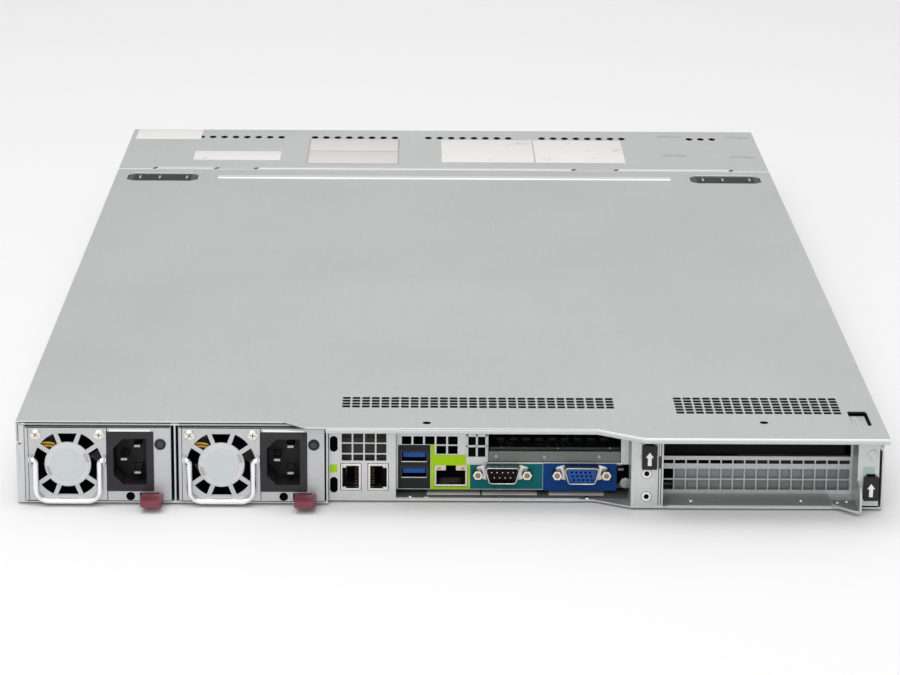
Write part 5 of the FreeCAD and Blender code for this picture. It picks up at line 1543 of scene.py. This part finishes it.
    def _holes(self) -> None:
        """Socket holes of the screen port, painted black as shade."""
        x, z = self._middle(self.screen)
        y = self.face + self.screen.depth[1]
        across, tall = self.hole_pitch
        holes = [(x + across * column + self.hole_stagger * line, y, z + tall * line)
                 for line in (-1, 0, 1) for column in (-2, -1, 0, 1, 2)]
        turnings("screen_holes", PAINTED_SHADE, self.hole, 12, holes)

    def _slot(self) -> None:
        """Rivets on the sill, the bright edge of the shield and the dark card above the sill."""
        box = node_box("riser_bracket")
        low, high = box.low, box.high
        rivets = [(high.x - share * (high.x - low.x), high.y, high.z - self.rivet_drop)
                  for share in self.rivet_shares]
        turnings("sill_rivets", FOOT, self.rivet, 18, rivets)
        slab("shield_edge", RIM, box.xs(), span(self.face, self.edge_depth), self.edge_height, 0.1)
        slab("riser_card", DARK_BOARD, box.xs(self.card_end), moved(self.card_depth, high.y),
             moved(self.card_height, high.z), 0.2)
        chips = Stock()
        for index, reach in enumerate(steps(*self.chip_row)):
            depth = 3.0 + index * 7 % 5
            chips.block(span(low.x + reach, self.chip_width), span(high.y + self.chip_place, -depth),
                        moved(self.chip_height, high.z), 0.2)
        chips.piece("riser_card_chips", BLACK)

    def _bracket(self) -> None:
        """Small white bracket beside the slot, with black painted shade behind its four windows."""
        edge = node_box("riser_bracket").high.x
        x0, x1 = edge + self.bracket_xs[0], edge + self.bracket_xs[1] - self.bracket_post
        ys = moved(self.bracket_depth, self.face)
        bracket = Stock()
        for zs in self.bracket_bars:
            bracket.block((x0, x1 + self.bracket_post), ys, zs, 0.15)
        zs = (self.bracket_bars[0][1], self.bracket_bars[-1][1])
        for x in (x0, (x0 + x1) / 2, x1):
            bracket.block(span(x, self.bracket_post), ys, zs, 0.15)
        bracket.piece("white_bracket", FRAME_STEEL)
        row("bracket_shade", PAINTED_SHADE, self.bracket_shade, [(edge, self.face, 0.0)])

    def _far_end(self) -> None:
        """Black painted shade in the hollow, an eight-sided tab and loose bits beside the post."""
        left = self.shield.low.x
        spot = (left, self.face, 0.0)
        row("far_end_shade", PAINTED_SHADE, self.end_shade, [spot])
        x, y, z = self.end_tab_place
        turnings("eight_sided_tab", FOOT, self.end_tab, 8, [(left + x, self.face + y, z)])
        bits = Stock()
        for bit in self.end_bits:
            bits.bit(bit, spot)
        bits.piece("far_end_bits", FOOT)

    def _shades(self) -> None:
        """Painted shade behind the vents: a grey hood behind the bracket's vents and black plates behind the
        other vents.
        """
        box = node_box("lan_bracket")
        low, high = box.low, box.high
        hood = Stock()
        across = (low.x + self.hood_xs[0], high.x + self.hood_xs[1])
        for ys, zs in zip(self.hood_depths, self.hood_heights):
            hood.block(across, moved(ys, high.y), zs, 0.1)
        for reach in steps(*self.hood_row):
            hood.bit(self.hood_bar, (low.x + reach, high.y, 0.0))
        hood.piece("bracket_vent_shade", VENT_SHADE_GREY)
        shades = Stock().block(moved(self.vent_shade_xs, high.x), moved(self.vent_shade_depth, high.y),
                               (self.vent_shade_foot, high.z - self.vent_shade_drop))
        for shade_plate in self.vent_shade_plates:
            shades.bit(shade_plate, (self.shield.high.x, self.face, 0.0))
        shades.piece("vent_shade_plates", PAINTED_SHADE)


@dataclass
class CardBay:
    """Post, perforated partition, corner plate, locks, pull foot and the floor with its bare labels."""

    partition: float = 327.5
    rear: float = 349.0
    right: float = -205.5
    left: float = -107.5
    floor: float = 1.0
    arrow: Profile = ((0.96, 0.0), (0.96, 4.2), (2.0, 4.2), (0.0, 7.0))
    arrow_drop: float = 4.1
    arrow_rise: float = 0.15
    post_plate: tuple[Flat, ...] = ((2.9, 1.4), (14.0, 1.4), (14.0, 23.5), (12.6, 25.6), (2.9, 25.6))
    plate_rise: float = 0.22
    post_holes: Flat = (18.4, 6.3)
    hole_place: Flat = (1.2, 0.2)
    hole_ring: Profile = ((2.5, 0.0), (2.2, 0.35), (1.5, 0.4), (1.3, 0.1), (0.0, 0.1))
    # The bores are painted black and the grooves dark grey, as painted shade.
    hole_bore: Profile = ((1.3, 0.12), (0.0, 0.14))
    hole_groove: Profile = ((2.5, 0.04), (2.7, 0.05), (2.7, 0.0))
    grooves: tuple[Bit, ...] = (
        Bit((0.88, 1.32), (0.0, 0.06), (1.8, 35.0)), Bit((2.18, 2.62), (0.0, 0.06), (1.8, 35.0)),
        Bit((1.3, 2.4), (0.0, 0.08), (21.0, 27.5)))
    # White blocks beside the lock, as painted highlights.
    side_highlight: Bit = Bit((0.0, 0.7), (0.0, 0.5), (28.4, 34.0), 0.12)
    side_highlight_reach: Flat = (-0.9, 0.2)
    corner_ring: Profile = ((3.0, 0.0), (2.6, 0.3), (1.8, 0.34), (1.4, 0.1), (0.0, 0.1))
    corner_place: Flat = (-0.6, 28.6)
    corner_skin: float = 0.1
    window_xs: Flat = (1.9, 0.3)
    window_zs: Flat = (18.7, 22.4)
    gap_xs: Flat = (-0.1, 2.2)
    gap_zs: Flat = (1.1, 1.8)
    # Sheets of painted shade behind the partition.
    sheet_gap: float = 3.0
    sheet_ends: Flat = (1.1, 6.9)
    sheet_depth: float = 0.15
    sheet_zs: Flat = (1.2, 15.9)
    slot_zs: Flat = (16.1, 20.6)
    slot_split: float = 0.4
    slot_shade_inset: float = 1.2
    slot_shade_depth: Flat = (-1.6, -1.2)
    end_column_shade: float = 6.7
    end_column_shade_zs: Flat = (5.6, 16.0)
    upper_shade_depth: Flat = (-22.0, -21.6)
    upper_shade_end: float = 1.4
    upper_shade_zs: Flat = (5.4, 40.6)
    foot_skin: tuple[Flat, ...] = ((0.2, -7.8), (11.8, -7.8), (11.8, -0.2), (1.4, 10.1), (0.2, 10.1))
    foot_rise: float = 0.12
    foot_rim: tuple[Flat, ...] = ((12.0, -1.0), (11.8, 0.0), (2.0, 10.2), (0.9, 10.5), (0.1, 10.3))
    foot_wire: float = 0.45
    foot_rivet: Profile = ((1.2, 0.0), (1.0, 0.4), (0.5, 0.6), (0.0, 0.65))
    foot_rivets: tuple[Flat, ...] = ((4.4, -5.6), (9.2, -4.0))
    foot_rivet_lift: float = 0.1
    sheet_rise: float = 0.1
    # Floor sheets of painted shade.
    bay_floor: Patch = ((-193.3, -107.8), (327.8, 347.6))
    port_floor: Patch = ((-90.6, 26.9), (318.0, 337.1))
    rivet: Profile = ((1.9, 0.0), (1.6, 0.5), (0.8, 0.8), (0.0, 0.85))
    rivets: tuple[Flat, ...] = ((-122.5, 339.5), (-178.5, 338.5), (-26.0, 336.0), (20.0, 334.8),
                                (12.0, 335.4), (-70.0, 336.0))
    label_xs: tuple[Flat, ...] = ((-15.6, 11.5), (-44.6, -16.6), (-78.6, -50.6))
    label_ys: Flat = (322.0, 331.8)
    label_rise: Flat = (0.1, 0.22)
    rim_runs: tuple[tuple[Flat, float], ...] = (((-193.0, -110.0), 349.0), ((-66.0, 61.0), 338.5))
    rim: tuple[Flat, ...] = ((-1.3, 1.0), (-1.0, 1.5), (-0.4, 1.6), (0.15, 1.2), (0.15, 0.1), (-0.2, 0.0))

    def build(self) -> None:
        """Dresses the bay's frame and locks."""
        dress("expansion_bay", FRAME_STEEL, 0.15)
        for name in ("post", "corner"):
            self._lock(name)
        self._post()
        self._corner()
        self._behind()
        self._foot()
        self._sheets()
        self._rims()

    def _lock(self, name: str) -> None:
        """Black lock with a white arrow that points up.

        Args:
            name: post or corner.
        """
        node = f"bay_lock_{name}"
        dress(node, BLACK, 0.5)
        box = node_box(node)
        tip = self.arrow[-1]
        outline = [*self.arrow[:-1], tip, *((-p, q) for p, q in reversed(self.arrow[:-1]))]
        x, z = box.mid.x, box.mid.z - self.arrow_drop
        arrow = Stock().prism([(x + p, z + q) for p, q in outline], Axis.Y, span(box.high.y, self.arrow_rise))
        arrow.piece(f"lock_arrow_{name}", WHITE_PRINT_AND_HIGHLIGHT, f"{name}_lock")

    def _post(self) -> None:
        """Second plate on the post with its ringed holes and black painted shade in their bores, dark grey
        painted shade in the grooves beside it and round the rings, and white blocks beside the lock as
        painted highlights.
        """
        lock = node_box("bay_lock_post")
        y = self.rear
        outline = [(self.left + p, q) for p, q in self.post_plate]
        Stock().prism(outline, Axis.Y, span(y, self.plate_rise), 0.08).piece("post_plate", FRAME_STEEL)
        spots = [(lock.mid.x + self.hole_place[0], y + self.hole_place[1], z) for z in self.post_holes]
        turnings("post_rings", WHITE_PRINT_AND_HIGHLIGHT, self.hole_ring, 24, spots)
        turnings("post_bores", PAINTED_SHADE, self.hole_bore, 20, spots)
        grooves = Stock()
        for spot in spots:
            grooves.turned(spot, Axis.Y, self.hole_groove, 28)
        for groove in self.grooves:
            grooves.bit(groove, (self.left, y, 0.0))
        grooves.piece("post_groove_shades", GROOVE_AND_BAY_SHADE)
        side_highlight_spots = [(lock.low.x + self.side_highlight_reach[0], y, 0.0), (lock.high.x + self.side_highlight_reach[1], y, 0.0)]
        row("lock_side_highlights", WHITE_PRINT_AND_HIGHLIGHT, self.side_highlight, side_highlight_spots)

    def _corner(self) -> None:
        """Emboss, pale window and lower gap of the corner plate; the gap is painted black as shade."""
        lock = node_box("bay_lock_corner")
        ys = span(self.rear, self.corner_skin)
        reach, height = self.corner_place
        emboss = (lock.mid.x + reach, self.rear, height)
        turnings("corner_emboss", FRAME_STEEL, self.corner_ring, 28, [emboss])
        window = (lock.low.x + self.window_xs[0], lock.high.x + self.window_xs[1])
        slab("corner_window", PALE_GREEN, window, ys, self.window_zs, 0.03)
        gap = (lock.low.x + self.gap_xs[0], lock.high.x + self.gap_xs[1])
        slab("corner_gap", PAINTED_SHADE, gap, ys, self.gap_zs, 0.02)

    def _behind(self) -> None:
        """Painted shade seen through the partition and above it: a blue-grey sheet darker than the frame
        steel behind the holes, dark grey and black sheets behind the slots and the end column of holes, and a
        dark grey sheet further back.
        """
        right, left = self.right, self.left
        y = self.partition - self.sheet_gap
        slab("bay_inner_shade_sheet", BAY_SHEET_SHADED, (right + self.sheet_ends[0], left - self.sheet_ends[1]),
             span(y, self.sheet_depth), self.sheet_zs, 0.03)
        split = left - self.slot_split * (left - right)
        end = left - self.slot_shade_inset
        ys = moved(self.slot_shade_depth, y)
        slab("bay_slot_grey_shade", VENT_SHADE_GREY, (right + self.slot_shade_inset, split), ys, self.slot_zs)
        black_shade_stock = Stock().block((split, end), ys, self.slot_zs)
        black_shade_stock.block((left - self.end_column_shade, end), ys, self.end_column_shade_zs).piece("bay_slot_black_shade", PAINTED_SHADE)
        slab("bay_upper_shade_sheet", GROOVE_AND_BAY_SHADE, (right + self.upper_shade_end, left - self.upper_shade_end),
             moved(self.upper_shade_depth, self.partition), self.upper_shade_zs, 0.05)

    def _foot(self) -> None:
        """Dull skin, bright rim and rivets of the pull foot."""
        x, y, top = self.right, self.rear, 2 * self.floor
        outline = [(x + p, y + q) for p, q in self.foot_skin]
        Stock().prism(outline, Axis.Z, span(top, self.foot_rise), 0.04).piece("pull_foot_skin", FOOT)
        path = [Vector((x + p, y + q, top)) for p, q in self.foot_rim]
        Stock().tube(path, self.foot_wire, 10).piece("pull_foot_rim", RIM)
        rivets = [(x + p, y + q, top + self.foot_rivet_lift) for p, q in self.foot_rivets]
        turnings("pull_foot_rivets", TIN, self.foot_rivet, 16, rivets, Axis.Z)

    def _sheets(self) -> None:
        """Floor sheets darker than the tray as painted shade, rivets and the bare labels below the
        connectors.
        """
        floor = self.floor
        zs = span(floor, self.sheet_rise)
        slab("bay_floor_sheet", BAY_FLOOR_SHADED, *self.bay_floor, zs)
        slab("port_floor_sheet", PORT_FLOOR_SHADED, *self.port_floor, zs)
        turnings("floor_rivets", TIN, self.rivet, 18, [(x, y, floor) for x, y in self.rivets], Axis.Z)
        labels = Stock()
        for xs in self.label_xs:
            labels.block(xs, self.label_ys, moved(self.label_rise, floor), 0.04)
        labels.piece("floor_labels", WHITE_PAPER)

    def _rims(self) -> None:
        """Bright rolled rims at the rear edges of the floor."""
        rims = Stock()
        for ends, y in self.rim_runs:
            rims.prism([(y + p, q) for p, q in self.rim], Axis.X, ends)
        rims.piece("floor_rims", RIM)


@dataclass
class Interior:
    """Boards, fans, memory, heatsinks and what stands on the main board."""

    fans: int = 5
    board_top: float = 5.4
    supply_edge: float = 60.0
    can: Profile = ((4.0, 0.0), (4.0, 10.2), (3.5, 10.8), (0.0, 10.8))
    can_row: Row = (24.0, 22.5, 12)
    can_place: float = -202.0
    can_shift: float = 9.0
    coil: Bit = Bit((8.0, 15.0), (-4.0, 3.0), (0.0, 5.0), 0.5)
    chip_row: Row = (20.0, 16.0, 16)
    chip_place: float = -90.0
    chip_shift: float = 14.0
    chip_height: float = 1.4
    chip_edge: float = 58.0
    sink_place: Flat = (-60.0, 195.0)
    sink_base: Bit = Bit((0.0, 42.0), (0.0, 42.0), (0.0, 4.0), 0.3)
    sink_fin: Bit = Bit((1.0, 2.4), (1.0, 41.0), (4.0, 13.0), 0.2)
    fin_row: Row = (0.0, 4.8, 9)
    memory_row: Row = (6.0, 13.6, 9)
    memory_chip: Flat = (0.9, 10.0)
    memory_foot: float = 9.0
    memory_drop: float = 5.0

    def build(self) -> None:
        """Dresses everything under the lid."""
        dress_each(("chassis_tray", TRAY, 0.3), ("psu_cage", TRAY, 0.2), ("power_board", PLAIN_BOARD, 0.2),
                   ("motherboard", BOARD, 0.15), ("memory_modules", MODULE, 0.15),
                   ("cpu_heatsinks", FIN, 0.0), ("air_shroud", SHROUD, 0.3), ("fan_frames", BLACK, 0.4))
        dress_each(*((f"fan_rotor_{index}", ROTOR_BLACK_AND_SHADE, 0.3) for index in range(1, self.fans + 1)))
        board = node_box("motherboard")
        self._cans(board)
        self._chips(board)
        self._sink()
        self._memory()

    def _cans(self, board: Box) -> None:
        """Capacitors and coils in a row on the main board, up to the power supplies.

        Args:
            board: box of the main board.
        """
        cans = []
        for index, reach in enumerate(steps(*self.can_row)):
            y = board.high.y + self.can_place + index * 5 % 3 * self.can_shift
            if board.low.x + reach < self.supply_edge:
                cans.append((board.low.x + reach, y, self.board_top))
        turnings("board_capacitors", FIN, self.can, 24, cans, Axis.Z)
        row("board_coils", BEZEL_LIGHT, self.coil, cans)

    def _chips(self, board: Box) -> None:
        """Chips of several sizes on the main board, up to the power supplies.

        Args:
            board: box of the main board.
        """
        chips = Stock()
        for index, reach in enumerate(steps(*self.chip_row)):
            x = board.low.x + reach
            y = board.high.y + self.chip_place - index * 11 % 5 * self.chip_shift
            size = 5.0 + index * 7 % 4 * 2.0
            if x + size < self.chip_edge:
                chips.block(span(x, size), span(y, size * 1.3), span(self.board_top, self.chip_height), 0.2)
        chips.piece("board_chips", BLACK)

    def _sink(self) -> None:
        """Finned heatsink of the board's chipset."""
        x, y = self.sink_place
        sink = Stock().bit(self.sink_base, (x, y, self.board_top))
        for reach in steps(*self.fin_row):
            sink.bit(self.sink_fin, (x + reach, y, self.board_top))
        sink.piece("chipset_heatsink", FIN)

    def _memory(self) -> None:
        """Black chips along the outer faces of the outer memory modules."""
        box = node_box("memory_modules")
        depth, length = self.memory_chip
        chips = Stock()
        for x, side in ((box.low.x, -1), (box.high.x, 1)):
            for reach in steps(*self.memory_row):
                chips.block((x, x + side * depth), span(box.low.y + reach, length),
                            (box.low.z + self.memory_foot, box.high.z - self.memory_drop), 0.15)
        chips.piece("memory_chips", BLACK)


@dataclass
class DriveBays:
    """Drive carriers with their levers, drives, lamps and buttons, and the control panel."""

    carriers: int = 10
    catch_gap: float = 0.3
    button: Bit = Bit((1.6, 6.6), (-0.25, 0.5), (-4.5, 4.5), 0.2)
    button_rib: Bit = Bit((2.4, 5.8), (-0.35, 0.0), (-0.4, 0.4), 0.1)
    rib_heights: tuple[float, ...] = (-2.4, 0.0, 2.4)
    lamp: Profile = ((0.9, 0.4), (0.9, -0.1), (0.6, -0.22), (0.0, -0.25))
    lamp_inset: float = 3.0
    lamp_lifts: Flat = (-3.0, 3.0)
    bar_row: Row = (12.4, 7.6, 5)
    bar_width: float = 2.2
    bar_depth: Flat = (1.0, -0.6)
    bar_margin: float = 4.4
    drive_half: float = 35.05
    drive_length: float = 99.9
    drive_margin: float = 1.9
    label: Bit = Bit((-30.0, 30.0), (-92.0, -12.0), (-1.9, -1.75), 0.05)
    ring: Profile = ((5.3, 0.3), (5.3, -0.15), (5.5, -0.25), (6.2, -0.25), (6.5, 0.0), (6.5, 0.3))
    panel_lamp: Profile = ((1.0, 0.4), (1.0, -0.1), (0.7, -0.2), (0.0, -0.22))
    panel_lamp_height: float = 12.0
    panel_lamp_row: Row = (-9.0, 6.0, 4)

    def build(self) -> None:
        """Dresses the bays one by one, then the control panel."""
        dress_each(("drive_cage", TRAY, 0.15), ("drive_backplane", PLAIN_BOARD, 0.15),
                   ("control_panel", BEZEL, 0.3), ("power_button", BEZEL_LIGHT, 0.4))
        for number in range(1, self.carriers + 1):
            tag = f"{number:02d}"
            dress_each((f"drive_carrier_{tag}", BEZEL, 0.3), (f"drive_lever_{tag}", BEZEL_LIGHT, 0.4))
            self._front(tag)
            self._drive(tag)
        self._control()

    def _front(self, tag: str) -> None:
        """Release button and lamps of one carrier, and the bars of its lever.

        Args:
            tag: the bay's number, as two digits.
        """
        box = node_box(f"drive_carrier_{tag}")
        arm = node_box(f"drive_lever_{tag}")
        x, y, z = arm.high.x + self.catch_gap, box.low.y, box.mid.z
        button = Stock().bit(self.button, (x, y, z))
        for height in self.rib_heights:
            button.bit(self.button_rib, (x, y, z + height))
        button.piece(f"carrier_button_{tag}", MAROON, f"carrier_{tag}")
        lamps = [(box.high.x - self.lamp_inset, y, z + lift) for lift in self.lamp_lifts]
        turnings(f"carrier_lamps_{tag}", LENS_GREEN, self.lamp, 14, lamps, body=f"carrier_{tag}")
        bars = Stock()
        ys = (arm.low.y + self.bar_depth[0], arm.high.y + self.bar_depth[1])
        for reach in steps(*self.bar_row):
            bars.block(span(arm.low.x + reach, self.bar_width), ys, arm.zs(self.bar_margin), 0.3)
        bars.piece(f"lever_bars_{tag}", BEZEL_LIGHT, f"lever_{tag}")

    def _drive(self, tag: str) -> None:
        """Drive in one carrier, with its bare label.

        Args:
            tag: the bay's number, as two digits.
        """
        box = node_box(f"drive_carrier_{tag}")
        ys = (box.high.y - self.drive_length, box.high.y)
        slab(f"drive_case_{tag}", DRIVE_CASE, about(box.mid.x, self.drive_half), ys,
             box.zs(self.drive_margin), 0.4, f"carrier_{tag}")
        spot = (box.mid.x, box.high.y, box.high.z)
        row(f"drive_label_{tag}", WHITE_PAPER, self.label, [spot], f"carrier_{tag}")

    def _control(self) -> None:
        """Ring round the power button and the lamps of the control panel."""
        panel, button = node_box("control_panel"), node_box("power_button")
        y = panel.low.y
        turnings("button_ring", TIN, self.ring, 40, [(button.mid.x, y, button.mid.z)])
        lamps = [(panel.mid.x + reach, y, self.panel_lamp_height) for reach in steps(*self.panel_lamp_row)]
        turnings("panel_lamps", LENS_GREEN, self.panel_lamp, 16, lamps)


@dataclass(frozen=True)
class Lamp:
    """A soft square lamp; lengths in metres, power in watts."""

    name: str
    place: Point
    target: Point
    size: float
    power: float

    def build(self) -> None:
        """Hangs the lamp so that it looks at its target."""
        data = bpy.data.lights.new(self.name, "AREA")
        data.size = self.size
        data.energy = self.power
        lamp = bpy.data.objects.new(self.name, data)
        lamp.location = self.place
        lamp.rotation_euler = (Vector(self.target) - Vector(self.place)).to_track_quat("-Z", "Y").to_euler()
        bpy.context.scene.collection.objects.link(lamp)


@dataclass
class Studio:
    """Pale floor, soft lamps and the camera at the photograph's angle."""

    floor_reach: float = 5.0
    floor_height: float = -0.0011
    floor_tones: tuple[Colour, Colour] = ((0.865, 0.86, 0.865), (0.895, 0.89, 0.895))
    floor_roughness: float = 0.75
    world_strength: float = 0.42
    lamps: tuple[Lamp, ...] = (
        Lamp("front_lamp", (0.5, 2.9, 1.7), (0.0, 0.0, 0.0), 2.4, 41.0),
        Lamp("top_lamp", (0.3, 0.4, 2.6), (0.1, 0.2, 0.0), 2.8, 43.0),
        Lamp("back_lamp", (-0.3, -2.3, 2.0), (0.0, -1.3, 0.0), 2.4, 14.0))
    camera_place: Point = (14.6, 1945.5, 529.9)
    yaw: float = 0.507
    pitch: float = 15.438
    roll: float = 0.407
    focal_pixels: float = 3328.0
    frame_pixels: float = 900.0
    sensor: float = 36.0
    far_clip: float = 50.0

    def build(self) -> None:
        """Sets the stage."""
        self._floor()
        self._world()
        for lamp in self.lamps:
            lamp.build()
        self._camera()
        bpy.context.scene.view_settings.view_transform = "Standard"

    def _floor(self) -> None:
        """A wide pale floor just under the tray."""
        reach = self.floor_reach
        data = bpy.data.meshes.new("floor")
        corners = [(-reach, -reach), (reach, -reach), (reach, reach), (-reach, reach)]
        data.from_pydata([(x, y, self.floor_height) for x, y in corners], [], [(0, 1, 2, 3)])
        floor = bpy.data.objects.new("studio_floor", data)
        graph = Graph("studio_floor_paint")
        graph.set(Base_Color=graph.blend(graph.noise(0.8), *self.floor_tones), Roughness=self.floor_roughness)
        data.materials.append(graph.material)
        bpy.context.scene.collection.objects.link(floor)

    def _world(self) -> None:
        """Even white surroundings."""
        world = bpy.data.worlds.new("studio_world")
        world.use_nodes = True
        background = world.node_tree.nodes["Background"]
        background.inputs["Color"].default_value = (1.0, 1.0, 1.0, 1.0)
        background.inputs["Strength"].default_value = self.world_strength
        bpy.context.scene.world = world

    def _camera(self) -> None:
        """Places the camera by its angles; it looks towards -Y, so right is -X."""
        yaw, pitch, roll = (math.radians(a) for a in (self.yaw, self.pitch, self.roll))
        ahead = Vector((-math.sin(yaw) * math.cos(pitch), -math.cos(yaw) * math.cos(pitch), -math.sin(pitch)))
        level = Vector((-math.cos(yaw), math.sin(yaw), 0.0))
        upright = level.cross(ahead)
        right = level * math.cos(roll) + upright * math.sin(roll)
        up = upright * math.cos(roll) - level * math.sin(roll)
        turn = Matrix((right, up, -ahead)).transposed().to_4x4()
        data = bpy.data.cameras.new("studio_camera")
        data.sensor_width = self.sensor
        data.lens = self.focal_pixels / self.frame_pixels * self.sensor
        data.clip_end = self.far_clip
        camera = bpy.data.objects.new("studio_camera", data)
        camera.matrix_world = Matrix.Translation(Vector(self.camera_place) * MM) @ turn
        bpy.context.scene.collection.objects.link(camera)
        bpy.context.scene.camera = camera


def main() -> None:
    """Builds the sub-assemblies in order, then the studio."""
    logging.basicConfig(level=logging.INFO, format="%(name)s: %(message)s")
    assemblies = (CoverSkin(), PowerSupply(1), PowerSupply(2), RearPanel(), CardBay(), Interior(),
                  DriveBays(), Studio())
    for assembly in assemblies:
        LOG.info("building %s", type(assembly).__name__)
        assembly.build()


if __name__ == "__main__":
    main()
